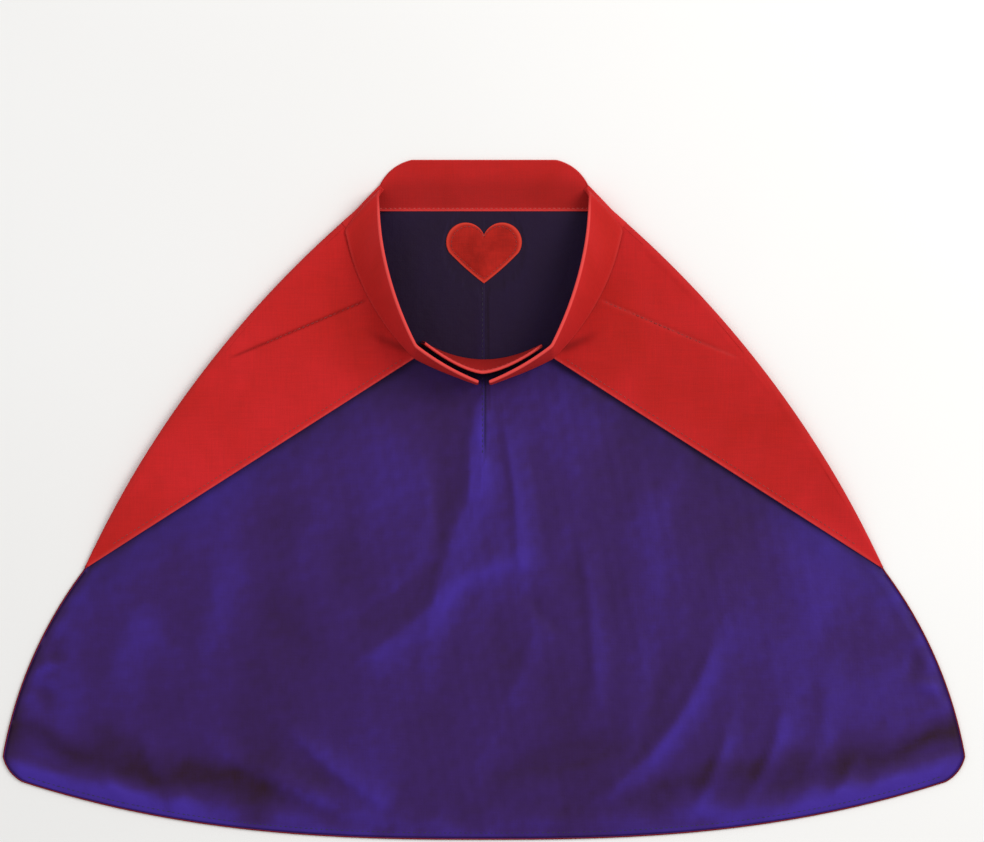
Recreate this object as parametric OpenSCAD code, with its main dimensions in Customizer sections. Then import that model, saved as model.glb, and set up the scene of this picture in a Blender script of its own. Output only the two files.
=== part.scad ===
// Child's lined dress-up cape, lying on its back with both fronts folded over and the collar fastened.
// X runs across the shoulders, Y from the hem to the collar, Z up from the surface it lies on.
// The right half is drawn and the left half is its mirror image.

/* [Body] */
// Width across the two hem corners
hem_w = 599; // [480:1:720]
// Length from the back neck seam to the middle of the hem
back_len = 391; // [320:1:470]
// Height of the hem's ends above its middle
hem_sweep = 40; // [20:1:60]
// Radius of the hem corners
hem_corner_r = 12; // [6:1:20]
// How far the side edge bows outwards below the front's tip
side_bow = 10; // [0:1:16]

/* [Fronts] */
// Half width where the front edges run out to the side
tip_x = 249; // [215:1:285]
// Depth of that point below the back neck seam
tip_drop = 223; // [190:1:270]
// How far the folded shoulder bows outwards
shoulder_bow = 20; // [8:1:26]
// Half width between the two points where the front edges meet the collar
neck_point_x = 42; // [34:1:52]
// Depth of those points below the back neck seam
neck_depth = 91; // [75:1:110]
// Height of a folded front's outer face above the table
fold_h = 8; // [7:0.1:12]
// How far the shoulder dart stops short of the fold
dart_in = 4; // [3:0.5:20]

/* [Neck and collar] */
// Height of the stand collar
collar_h = 32; // [26:1:40]
// Half width of the back neck seam, at the folded shoulder
neck_half = 80; // [66:1:96]
// How far the collar's folded corner lies inside the end of the back neck seam
corner_in = 15; // [12:0.5:18]
// How far the end of its straight top edge lies inside the end of the back neck seam
collar_top_in = 35; // [29:1:42]
// Gap between the two collar ends at centre front
end_gap = 7.8; // [4:0.1:14]
// How far the collar ends dip below the neck points
end_dip = 15; // [8:1:20]
// Height of the collar ends' lower edge above the table
end_lift = 2.6; // [2:0.1:6]

/* [Closure] */
// Height of the closure tab
tab_h = 27; // [20:0.5:32]
// How far the closure tab's tip stops short of the right neck point
tab_short = 6; // [5:0.5:14]
// Length of the hook tape and of the loop tape, along the collar
tape_len = 26; // [16:1:32]
// Thickness of each tape
tape_t = 0.8; // [0.6:0.1:1]

/* [Cloth and thread] */
// Thickness of the shell cotton
shell_t = 0.8; // [0.5:0.1:1]
// Thickness of the lining
lining_t = 0.8; // [0.5:0.1:1]
// Thickness of the collar's interfacing
interfacing_t = 0.5; // [0.3:0.1:0.8]
// Thickness of the fusible web under the heart
web_t = 0.2; // [0.1:0.1:0.3]
// Width of a row of stitches
stitch_w = 0.9; // [0.6:0.1:1.2]
// Height of a row of stitches above the cloth
stitch_t = 0.3; // [0.2:0.1:0.4]
// Distance of a row of stitches from the edge beside it
stitch_in = 3; // [2:0.5:5]
// How much the shell shows beyond the lining at an edge
edge_show = 1.2; // [0.6:0.1:2]

/* [Heart] */
// Width of the heart
heart_w = 46; // [30:1:56]
// Height of the heart
heart_h = 37; // [26:1:44]
// Distance from the back neck seam to the top of the heart
heart_drop = 7.5; // [5:0.5:20]
// Length of the stitched lining pleat below the back neck seam
pleat_len = 151; // [80:1:200]

/* [Hidden] */
hinge_gap = 0.4;
seam_lap = 2;
dart_slope = -23;
half_turn = 180;
curve_steps = 14;
// Stations along a collar band: the side stretch takes the first ones and the free end the rest
band_steps = 16;
side_steps = 11;
side_share = side_steps / band_steps;

// Places along the middle
half_len = (back_len + collar_h) / 2;
neck_y = half_len - collar_h;
hem_y = -half_len;
hem_half = hem_w / 2;

// Corners of the right half
collar_top = [neck_half - collar_top_in, half_len];
collar_corner = [neck_half - corner_in, half_len - collar_h / 2];
fold_top = [neck_half, neck_y];
tip = [tip_x, neck_y - tip_drop];
side_end = [hem_half, hem_y + hem_sweep + hem_corner_r];
neck_point = [neck_point_x, neck_y - neck_depth];

// Layers, from the table up
back_top = shell_t + lining_t;
collar_t = 2 * shell_t + interfacing_t;
front_lining_z = fold_h - shell_t - lining_t;

// Line about which a front folds, and the direction from it into the front
fold_dir = (tip - fold_top) / norm(tip - fold_top);
fold_in = [fold_dir[1], -fold_dir[0]];
edge_dir = (neck_point - tip) / norm(neck_point - tip);
tip_angle = acos(edge_dir * -fold_dir);
front_tip = tip + edge_dir * hinge_gap / sin(tip_angle);
front_top = fold_top + fold_dir * 0.45 * collar_h + fold_in * hinge_gap;

// A curve from a to b, bowed by h to the left of its way
function left_of(a, b) = [a[1] - b[1], b[0] - a[0]] / norm(b - a);
function bow_at(a, b, h, t) = let (s = 1 - t) a * s + b * t + 3 * s * t * h * left_of(a, b);
function bow(a, b, h, n = curve_steps) = [for (i = [0:n]) bow_at(a, b, h, i / n)];
function reversed(path) = [for (i = [len(path) - 1:-1:0]) path[i]];

// A path moved sideways by d, to its left
function path_dir(path, i) = path[min(i + 1, len(path) - 1)] - path[max(i - 1, 0)];
function beside(path, d) = [for (i = [0:len(path) - 1])
    path[i] + d * [-path_dir(path, i)[1], path_dir(path, i)[0]] / norm(path_dir(path, i))];
function strip(path, d, w) = concat(beside(path, d + w / 2), reversed(beside(path, d - w / 2)));
function both_halves(path) = concat(path, [for (p = reversed(path)) if (p[0] > 0.01) [-p[0], p[1]]]);

// Edges of the right half, from the end of the neck seam down to the middle of the hem
function hem_at(x) = hem_y + hem_sweep * pow(abs(x) / hem_half, 2.6);
hem_turn = [hem_half - hem_corner_r, hem_at(hem_half - hem_corner_r)];
shoulder = bow(fold_top, tip, shoulder_bow);
side = bow(tip, side_end, side_bow);
hem_corner = bow(side_end, hem_turn, hem_corner_r / 4, 5);
hem = [for (i = [15:-1:0]) [hem_turn[0] * i / 15, hem_at(hem_turn[0] * i / 15)]];
collar_bend = bow(collar_top, collar_corner, 4, 6);
edge = concat(shoulder, [for (i = [1:len(side) - 1]) side[i]], [for (i = [1:4]) hem_corner[i]], hem);

// The collar beside the neck and its free end: seam point and top point at u from 0 to 1
seam_start = front_top + [-3, -1.5];
top_start = collar_corner + [0, -8];
top_end = neck_point + [-1, 6.5];
end_point = [end_gap / 2, neck_point[1] - end_dip];
function seam_xy(u) = u <= side_share
    ? bow_at(seam_start, neck_point, 9, u / side_share)
    : bow_at(neck_point, end_point, 1.5, (u - side_share) / (1 - side_share));
function top_xy(u) = u <= side_share
    ? bow_at(top_start, top_end, 7, u / side_share)
    : bow_at(top_end, end_point, 2, (u - side_share) / (1 - side_share));
function seam_z(u) = u <= side_share
    ? fold_h
    : fold_h + (end_lift - fold_h) * (u - side_share) / (1 - side_share);
function lean_z(z, a, b, h) = z + sqrt(max(h * h - (b - a) * (b - a), 4));
function collar_low(u) = concat(seam_xy(u), seam_z(u));
function collar_high(u) = concat(top_xy(u), lean_z(seam_z(u), seam_xy(u), top_xy(u), collar_h));

// The closure tab, from its root inside the left collar end
tab_root = [3 - neck_point_x, neck_point[1] + 9.5];
tab_tip = [neck_point_x - tab_short, neck_point[1] + 7.5];
tab_foot_bow = -14;
tab_top_bow = -20;
tab_lift = end_lift + 0.6;
function tab_foot_xy(u) = bow_at(tab_root, tab_tip, tab_foot_bow, u);
function tab_top_xy(u) = bow_at(tab_root + [3, -1.5], tab_tip + [-1, -1.5], tab_top_bow, u);
function tab_low(u) = concat(tab_foot_xy(u), tab_lift);
function tab_high(u) = concat(tab_top_xy(u), lean_z(tab_lift, tab_foot_xy(u), tab_top_xy(u), tab_h));

// Flat cloth between two heights
module cloth(points, low, high) {
    translate([0, 0, low]) linear_extrude(high - low) polygon(points);
}

module left_side() {
    mirror([1, 0, 0]) children();
}

// A band that stands on one curve and ends on another, from one station to another:
// v0 to v1 is its share of the height, d0 to d1 its depth
module band(low, high, first, last, v0, v1, d0, d1) {
    function way(u) = low(min(u + 0.01, 1)) - low(max(u - 0.01, 0));
    function out(u) = let (c = cross(high(u) - low(u), way(u))) c / norm(c);
    function at(u, v, d) = low(u) * (1 - v) + high(u) * v + out(u) * d;
    points = [for (i = [first:last]) let (u = i / band_steps)
        each [at(u, v0, d0), at(u, v1, d0), at(u, v1, d1), at(u, v0, d1)]];
    walls = [for (i = [0:last - first - 1]) let (a = 4 * i, b = a + 4) each [
        [a, a + 1, b + 1], [a, b + 1, b], [a + 1, a + 2, b + 2], [a + 1, b + 2, b + 1],
        [a + 2, a + 3, b + 2], [a + 3, b + 3, b + 2], [a + 3, a, b], [a + 3, b, b + 3]]];
    end = 4 * (last - first);
    caps = [[0, 2, 1], [0, 3, 2], [end, end + 1, end + 2], [end, end + 2, end + 3]];
    polyhedron(points = points, faces = concat(walls, caps));
}

// The collar's and the tab's edges, as values that a band takes
low_edge = function (u) collar_low(u);
high_edge = function (u) collar_high(u);
tab_low_edge = function (u) tab_low(u);
tab_high_edge = function (u) tab_high(u);

// Back panel of the shell: the whole outline below the neck seam
module shell_back() {
    color("#b3221c") cloth(both_halves(edge), 0, shell_t);
}

// Back panel of the lining, a little smaller than the shell so that the shell edges it
module lining_back() {
    color("#3a2170") cloth(both_halves(beside(edge, -edge_show)), shell_t, back_top);
}

// The shell where it turns over the shoulder: the upright turn and its upper layer out to the hinge line
function between_ends(path) = [for (i = [1:len(path) - 2]) path[i]];

module shell_fold() {
    inner = reversed(between_ends(beside(shoulder, -shell_t)));
    color("#b3221c") {
        cloth(shoulder, fold_h - shell_t, fold_h);
        cloth(concat(shoulder, inner), shell_t, fold_h - shell_t);
    }
}

module lining_fold() {
    outer = between_ends(beside(shoulder, -shell_t));
    color("#3a2170") {
        cloth(outer, front_lining_z, front_lining_z + lining_t);
        cloth(concat(outer, reversed(beside(outer, -lining_t))), back_top, front_lining_z);
    }
}

// The collar behind the neck lies flat, its inner face up
module collar_back_layer(low, high, inset) {
    right = concat(beside(collar_bend, -inset), [fold_top + [-2 - inset, 0]]);
    cloth(both_halves(right), low, high);
}

module collar_back_outer() {
    color("#b3221c") collar_back_layer(0, shell_t, 0);
}

module collar_back_interfacing() {
    color("#e8e4dc") collar_back_layer(shell_t, shell_t + interfacing_t, 0.6);
}

module collar_back_inner() {
    color("#a61f17") collar_back_layer(shell_t + interfacing_t, collar_t, 0);
}

// The collar's fold at the back corner: it turns up and lies on top as far as the side collar's start
module collar_fold() {
    low = collar_t;
    high = fold_h - hinge_gap;
    bend = concat([for (i = [3:6]) collar_bend[i]], [fold_top + [-2, 0]]);
    cover = concat(bend, [seam_start + [0.5, 1.5], top_start + [0, 1]]);
    color("#b3221c") {
        cloth(cover, high - shell_t, high);
        cloth(concat(bend, reversed(beside(bend, -shell_t))), low, high - shell_t);
    }
}

// Half of the heart: a lobe as a round arc, then a bowed side down to the point
lobe_r = heart_w / 4 + 0.4;
lobe_x = heart_w / 2 - lobe_r;
lobe_y = neck_y - heart_drop - lobe_r;
heart_point = [0, neck_y - heart_drop - heart_h];
cleft_angle = half_turn - acos(lobe_x / lobe_r);
lobe_end_angle = -32;
lobe = [for (i = [0:10]) let (a = cleft_angle + (lobe_end_angle - cleft_angle) * i / 10)
    [lobe_x + lobe_r * cos(a), lobe_y + lobe_r * sin(a)]];
heart_half = concat(lobe, [for (i = [1:5]) bow_at(lobe[10], heart_point, 0.8, i / 5)]);

module heart(low, high, inset) {
    right = [for (p = beside(heart_half, -inset)) [max(p[0], 0), p[1]]];
    cloth(both_halves(right), low, high);
}

module heart_web() {
    color("#d8d2c6") heart(back_top, back_top + web_t, 0.6);
}

module heart_patch() {
    color("#a8231c") heart(back_top + web_t, back_top + web_t + shell_t, 0);
}

module heart_stitches() {
    face = back_top + web_t + shell_t;
    color("#8c1a16") difference() {
        heart(face, face + stitch_t, 1.6);
        heart(face - stitch_t, face + 2 * stitch_t, 1.6 + stitch_w);
    }
}

module hem_stitches() {
    row = strip(both_halves(hem), -edge_show - stitch_in, stitch_w);
    color("#2f1a5c") cloth(row, back_top, back_top + stitch_t);
}

module neck_stitches() {
    reach = neck_half - 8;
    color("#c8322c") translate([-reach, neck_y + 1, collar_t]) cube([2 * reach, stitch_w, stitch_t]);
}

module pleat_stitches() {
    low = heart_point[1] - 2;
    color("#2f1a5c") translate([-stitch_w / 2, neck_y - pleat_len, back_top])
        cube([stitch_w, low - neck_y + pleat_len, stitch_t]);
}

// Right front, lying on top; its inner edge runs a lap under the collar
seam_line = [for (i = [0:side_steps]) seam_xy(i / band_steps)];
front_outline = concat([front_top], beside(seam_line, -seam_lap), [neck_point, front_tip]);

module front_shell() {
    color("#b8261f") cloth(front_outline, fold_h - shell_t, fold_h);
}

module front_lining() {
    inner = concat([front_top], beside(seam_line, -seam_lap), [neck_point + [1, 1], front_tip + [-3, 3]]);
    color("#3a2170") cloth(inner, front_lining_z, front_lining_z + lining_t);
}

// Shoulder dart, running out from the collar seam almost to the fold
dart_root = seam_xy(side_share / 2) + [5, -1];
dart_dir = [cos(dart_slope), sin(dart_slope)];
dart_len = ((dart_root - fold_top) * fold_in - dart_in) / -(dart_dir * fold_in);
dart_end = dart_root + dart_len * dart_dir;

module dart_stitches() {
    color("#8c1a16") cloth(strip([dart_root, dart_end], 0, stitch_w), fold_h, fold_h + stitch_t);
}

module edge_stitches() {
    tip_clear = (2 * stitch_in + stitch_w) / sin(tip_angle);
    run = [neck_point - edge_dir * 2 * stitch_in, tip + edge_dir * tip_clear];
    color("#8c1a16") cloth(strip(run, stitch_in, stitch_w), fold_h, fold_h + stitch_t);
}

// Side collar in three layers, from the neck outwards
module collar_layer(v0, v1, d0, d1) {
    band(low_edge, high_edge, 0, band_steps, v0, v1, d0, d1);
}

module collar_inner() {
    color("#a61f17") collar_layer(0, 1, 0, shell_t);
}

module collar_interfacing() {
    color("#e8e4dc") collar_layer(0, 1, shell_t, shell_t + interfacing_t);
}

module collar_outer() {
    color("#c42a28") collar_layer(0, 1, shell_t + interfacing_t, collar_t);
}

module collar_stitches() {
    color("#d8403a") collar_layer(0.92, 0.95, collar_t, collar_t + stitch_t);
}

// Tapes: loop tape on the right collar end's inner face, hook tape on the tab's outer face
end_step = norm(end_point - neck_point) / (band_steps - side_steps);
loop_steps = min(round(tape_len / end_step), band_steps - side_steps - 1);

module loop_tape() {
    color("#5a1418")
        band(low_edge, high_edge, band_steps - 1 - loop_steps, band_steps - 1, 0.25, 0.85, -tape_t, 0);
}

tab_step = norm(tab_tip - tab_root) / band_steps;
hook_steps = round(tape_len / tab_step);

module tab_layer(v0, v1, d0, d1) {
    band(tab_low_edge, tab_high_edge, 0, band_steps, v0, v1, d0, d1);
}

module tab_inner() {
    color("#a61f17") tab_layer(0, 1, 0, shell_t);
}

module tab_outer() {
    color("#c42a28") tab_layer(0, 1, -shell_t, 0);
}

module hook_tape() {
    color("#1c1418")
        band(tab_low_edge, tab_high_edge, band_steps - 1 - hook_steps, band_steps - 1, 0.2, 0.8,
            -shell_t - tape_t, -shell_t);
}

module tab_stitches() {
    color("#d8403a") tab_layer(0.9, 0.93, shell_t, shell_t + stitch_t);
}

shell_back();
lining_back();
left_side() shell_fold();  // shell_fold_left
shell_fold();  // shell_fold_right
left_side() lining_fold();  // lining_fold_left
lining_fold();  // lining_fold_right
collar_back_outer();
collar_back_interfacing();
collar_back_inner();
left_side() collar_fold();  // collar_fold_left
collar_fold();  // collar_fold_right
heart_patch();
heart_web();
heart_stitches();
hem_stitches();
neck_stitches();
pleat_stitches();
left_side() front_shell();  // front_shell_left
left_side() front_lining();  // front_lining_left
left_side() dart_stitches();  // dart_stitches_left
left_side() edge_stitches();  // edge_stitches_left
left_side() collar_outer();  // collar_outer_left
left_side() collar_interfacing();  // collar_interfacing_left
left_side() collar_inner();  // collar_inner_left
left_side() collar_stitches();  // collar_stitches_left
front_shell();  // front_shell_right
front_lining();  // front_lining_right
dart_stitches();  // dart_stitches_right
edge_stitches();  // edge_stitches_right
collar_outer();  // collar_outer_right
collar_interfacing();  // collar_interfacing_right
collar_inner();  // collar_inner_right
collar_stitches();  // collar_stitches_right
loop_tape();
tab_outer();
tab_inner();
hook_tape();
tab_stitches();
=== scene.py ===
import math

import bmesh
import bpy
import numpy as np
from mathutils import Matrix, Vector


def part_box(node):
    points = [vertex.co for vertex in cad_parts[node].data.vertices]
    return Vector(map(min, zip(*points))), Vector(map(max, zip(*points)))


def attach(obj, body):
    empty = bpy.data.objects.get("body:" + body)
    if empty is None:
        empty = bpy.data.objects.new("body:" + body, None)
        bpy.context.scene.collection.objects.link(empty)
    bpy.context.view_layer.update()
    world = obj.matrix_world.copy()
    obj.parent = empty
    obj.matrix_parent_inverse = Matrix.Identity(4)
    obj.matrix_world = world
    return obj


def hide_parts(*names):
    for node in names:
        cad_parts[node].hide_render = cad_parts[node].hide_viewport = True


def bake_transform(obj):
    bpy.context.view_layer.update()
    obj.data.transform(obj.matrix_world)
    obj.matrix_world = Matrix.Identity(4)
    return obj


# Child's lined dress-up cape, lying on its back with both fronts folded over and the collar fastened.
# Shapes are worked out in millimetres, and addPiece turns them to metres.

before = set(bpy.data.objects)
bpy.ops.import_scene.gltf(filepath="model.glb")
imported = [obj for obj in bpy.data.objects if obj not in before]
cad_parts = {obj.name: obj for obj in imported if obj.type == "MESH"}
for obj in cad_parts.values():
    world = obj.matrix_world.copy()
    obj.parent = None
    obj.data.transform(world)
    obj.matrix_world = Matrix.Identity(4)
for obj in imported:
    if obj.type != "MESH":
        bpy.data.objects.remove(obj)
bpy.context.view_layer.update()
print("frame loaded:", len(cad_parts), "nodes")


# ---- sizes read from the frame ----

def boxOf(node):
    low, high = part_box(node)
    return np.array(low) * 1000, np.array(high) * 1000


shellLow, shellHigh = boxOf("shell_back")
neckY = shellHigh[1]
hemY = shellLow[1]
hemHalf = shellHigh[0]
collarTopY = boxOf("collar_back_outer")[1][1]
frontZ = boxOf("front_shell_right")[1][2]
collarHeight = collarTopY - neckY

outline = {
    "tipX": 249, "tipDrop": 223,            # where the front edges run out to the side
    "shoulderBow": 20, "sideBow": 10,
    "hemSweep": 40, "hemCorner": 12, "hemPower": 2.6,
    "neckHalf": 80, "neckPointX": 42, "neckDepth": 91,
    "cornerIn": 15, "collarTopIn": 35,      # the collar's folded corner and the end of its straight top
    "endGap": 7.8, "endDip": 15, "endLift": 2.6,
    "sideShare": 0.6875,                    # share of the collar that stands beside the neck
    "seamDown": 0.45, "seamIn": 0.4, "seamShift": (-3, -1.5),   # where the stand's foot leaves the fold
    "topShift": (0, -8), "topEndShift": (-1, 6.5),              # where its top edge starts and turns in front
}


def point(*values):
    return np.array(values, float)


foldTop = point(outline["neckHalf"], neckY)
tip = point(outline["tipX"], neckY - outline["tipDrop"])
sideEnd = point(hemHalf, hemY + outline["hemSweep"] + outline["hemCorner"])
neckPoint = point(outline["neckPointX"], neckY - outline["neckDepth"])
collarCorner = point(outline["neckHalf"] - outline["cornerIn"], collarTopY - collarHeight / 2)
collarTop = point(outline["neckHalf"] - outline["collarTopIn"], collarTopY)
endPoint = point(outline["endGap"] / 2, neckPoint[1] - outline["endDip"])
foldWay = (tip - foldTop) / np.linalg.norm(tip - foldTop)
foldIn = point(foldWay[1], -foldWay[0])     # from the fold towards the neck
seamStart = (foldTop + foldWay * outline["seamDown"] * collarHeight + foldIn * outline["seamIn"]
             + point(*outline["seamShift"]))
topStart = collarCorner + point(*outline["topShift"])
topEnd = neckPoint + point(*outline["topEndShift"])


# ---- small shape tools ----

def smooth(value):
    value = np.clip(value, 0, 1)
    return value * value * (3 - 2 * value)


def leftOf(a, b):
    way = b - a
    return point(-way[1], way[0]) / np.linalg.norm(way)


def bowAt(a, b, bow, share):
    share = np.asarray(share, float)[..., None]
    return a * (1 - share) + b * share + 3 * share * (1 - share) * bow * leftOf(a, b)


def hemAt(x):
    return hemY + outline["hemSweep"] * (np.abs(x) / hemHalf) ** outline["hemPower"]


def resample(path, shares):
    path = np.asarray(path, float)
    length = np.concatenate([[0], np.cumsum(np.linalg.norm(np.diff(path, axis=0), axis=1))])
    return np.stack([np.interp(np.asarray(shares) * length[-1], length, path[:, k])
                     for k in range(path.shape[1])], 1)


def lengthOf(path):
    return np.linalg.norm(np.diff(path, axis=0), axis=1).sum()


def leftNormals(path):
    way = np.gradient(path, axis=0)
    normals = np.stack([-way[:, 1], way[:, 0]], 1)
    return normals / np.linalg.norm(normals, axis=1, keepdims=True)


def softNoise(x, y, size, seed, stretch=1.0, waves=11):
    # a sum of slanted waves, near -1 to 1, in patches of about that size
    draw = np.random.RandomState(seed)
    total = np.zeros(np.broadcast(x, y).shape)
    for _ in range(waves):
        angle = draw.uniform(0, 2 * math.pi)
        length = size * draw.uniform(1.1, 2.6)
        phase = draw.uniform(0, 2 * math.pi)
        total += np.sin(2 * math.pi * (x * math.cos(angle) + y * math.sin(angle) / stretch) / length + phase)
    return total / math.sqrt(waves)


def patch(top, bottom, left, right, across, down):
    # fills four edges: top and bottom run left to right, left and right run from top to bottom
    s, t = across[None, :, None], down[:, None, None]
    flat = (1 - t) * top[None] + t * bottom[None] + (1 - s) * left[:, None] + s * right[:, None]
    corners = ((1 - t) * ((1 - s) * top[0] + s * top[-1]) + t * ((1 - s) * bottom[0] + s * bottom[-1]))
    return flat - corners


def withHeight(plan, height):
    return np.concatenate([plan, np.broadcast_to(np.asarray(height, float), plan.shape[:-1])[..., None]], -1)


def rollRows(path, normals, base, radius, rise, turn, steps=8, startTurn=0.0):
    # cloth that rolls over an edge: from lying flat at the base, round by turn degrees
    rows = []
    for step in range(steps + 1):
        angle = np.radians(startTurn + (turn - startTurn) * step / steps)
        out = radius * (np.sin(angle) - 1)
        rows.append(withHeight(path + normals * np.broadcast_to(out, len(path))[:, None],
                               base + rise * (1 - np.cos(angle))))
    return np.array(rows)


def gridFaces(rows, cols, start=0):
    index = start + np.arange(rows * cols).reshape(rows, cols)
    return np.stack([index[:-1, :-1], index[:-1, 1:], index[1:, 1:], index[1:, :-1]], -1).reshape(-1, 4)


def mirrored(points):
    return np.asarray(points) * point(-1, 1, 1)


# ---- pieces ----

def meshObject(name, points, faces, material=None):
    mesh = bpy.data.meshes.new(name)
    mesh.from_pydata((np.asarray(points, float) * 0.001).tolist(), [], faces)
    if material:
        mesh.materials.append(material)
    obj = bpy.data.objects.new(name, mesh)
    bpy.context.collection.objects.link(obj)
    return obj


def levelSquare(name, reach, height=0, material=None):
    corners = [(reach * x, reach * y, height) for x, y in ((-1, -1), (1, -1), (1, 1), (-1, 1))]
    return meshObject(name, corners, [(0, 1, 2, 3)], material)


def addPiece(name, grids, material, marks=None, place=None, thickness=0.0, up=None, flip=False):
    # grids are blocks of points in rows; marks are values per point, such as how near a rolled edge it is
    points = np.concatenate([grid.reshape(-1, 3) for grid in grids])
    faces, start = [], 0
    for grid in grids:
        faces += gridFaces(grid.shape[0], grid.shape[1], start).tolist()
        start += grid.shape[0] * grid.shape[1]
    obj = meshObject(name, points, faces, material)
    mesh = obj.data
    for mark, values in (marks or {}).items():
        values = np.concatenate([np.broadcast_to(v, g.shape[:2]).reshape(-1) for v, g in zip(values, grids)])
        mesh.attributes.new(mark, "FLOAT", "POINT").data.foreach_set("value", values.astype(np.float32))
    if place is None:
        place = [grid[..., :2] for grid in grids]
    spots = np.concatenate([withHeight(p, 0).reshape(-1, 3) for p in place]) * 0.001
    mesh.attributes.new("clothPlace", "FLOAT_VECTOR", "POINT").data.foreach_set(
        "vector", spots.reshape(-1).astype(np.float32))
    work = bmesh.new()
    work.from_mesh(mesh)
    bmesh.ops.remove_doubles(work, verts=work.verts, dist=2e-6)
    if up is not None:
        bmesh.ops.recalc_face_normals(work, faces=work.faces)
        lean = sum(face.normal.z * face.calc_area() for face in work.faces)
        flip = (lean > 0) != up
    if flip:
        bmesh.ops.reverse_faces(work, faces=work.faces)
    work.to_mesh(mesh)
    work.free()
    mesh.shade_smooth()
    if thickness:
        solid = obj.modifiers.new("cloth", "SOLIDIFY")
        solid.thickness = thickness * 0.001
        solid.offset = -1
        keepModified(obj)
    return obj


def keepModified(obj):
    # the modifiers' result becomes the piece's own mesh
    bpy.context.view_layer.update()
    done = bpy.data.meshes.new_from_object(obj.evaluated_get(bpy.context.evaluated_depsgraph_get()))
    obj.modifiers.clear()
    obj.data = done
    done.name = obj.name


def heightAt(grid, spots):
    # height of the nearest point of a grid, for thread and patches that lie on it
    flat = grid.reshape(-1, 3)
    return np.array([flat[np.argmin(((flat[:, :2] - spot[:2]) ** 2).sum(1)), 2] for spot in spots])


# ---- materials ----

def toLinear(colour):
    parts = [int(colour[i:i + 2], 16) / 255 for i in (1, 3, 5)]
    return [c / 12.92 if c <= 0.04045 else ((c + 0.055) / 1.055) ** 2.4 for c in parts] + [1.0]


def addNode(tree, kind, values=None, links=None, **settings):
    node = tree.nodes.new(kind)
    for name, value in settings.items():
        setattr(node, name, value)
    for name, value in (values or {}).items():
        node.inputs[name].default_value = value
    for name, (source, output) in (links or {}).items():
        tree.links.new(source.outputs[output], node.inputs[name])
    return node


def newMaterial(name):
    material = bpy.data.materials.new(name)
    material.use_nodes = True
    material.node_tree.nodes.clear()
    return material, material.node_tree


def waveScale(pitch):
    # a band texture repeats every 0.314 of a unit at scale 1, and pitch is in millimetres
    return 0.31416 / (pitch * 0.001)


def slubPattern(tree, place, look):
    # thick and thin places, drawn out along the warp and then along the weft
    wide, long = 1000 / look["slubWidth"], 1000 / look["slubLength"]
    noises = []
    for scale in ((wide, long, 1.0), (long, wide, 1.0)):
        drawn = addNode(tree, "ShaderNodeMapping", {"Scale": scale}, {"Vector": (place, "Vector")})
        noises.append(addNode(tree, "ShaderNodeTexNoise", {"Scale": 1.0, "Detail": 2.0},
                              {"Vector": (drawn, "Vector")}))
    warp, weft = noises
    return addNode(tree, "ShaderNodeMath", {}, {0: (warp, "Fac"), 1: (weft, "Fac")}, operation="ADD")


def wovenRelief(tree, place, look):
    # Crossing threads with soft creases over them. The threads are 0.25 to 0.4 mm apart on the real
    # cloth, and are drawn coarser so that they show.
    warp, weft = [
        addNode(tree, "ShaderNodeTexWave", {"Scale": waveScale(look["threadPitch"]), **look["wander"]},
                {"Vector": (place, "Vector")}, wave_type="BANDS", bands_direction=way) for way in "XY"]
    weave = addNode(tree, "ShaderNodeMath", {}, {0: (warp, "Fac"), 1: (weft, "Fac")}, operation="MULTIPLY")
    weaveBump = addNode(tree, "ShaderNodeBump", {"Strength": look["threadStrength"],
                        "Distance": look["threadDepth"] * 0.001}, {"Height": (weave, "Value")})
    crease = addNode(tree, "ShaderNodeTexNoise", {"Scale": 1000 / look["creaseSize"], "Detail": 4.0,
                     "Roughness": look["creaseRoughness"]}, {"Vector": (place, "Vector")})
    return addNode(tree, "ShaderNodeBump", {"Strength": look["creaseStrength"],
                   "Distance": look["creaseDepth"] * 0.001},
                   {"Height": (crease, "Fac"), "Normal": (weaveBump, "Normal")})


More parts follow.
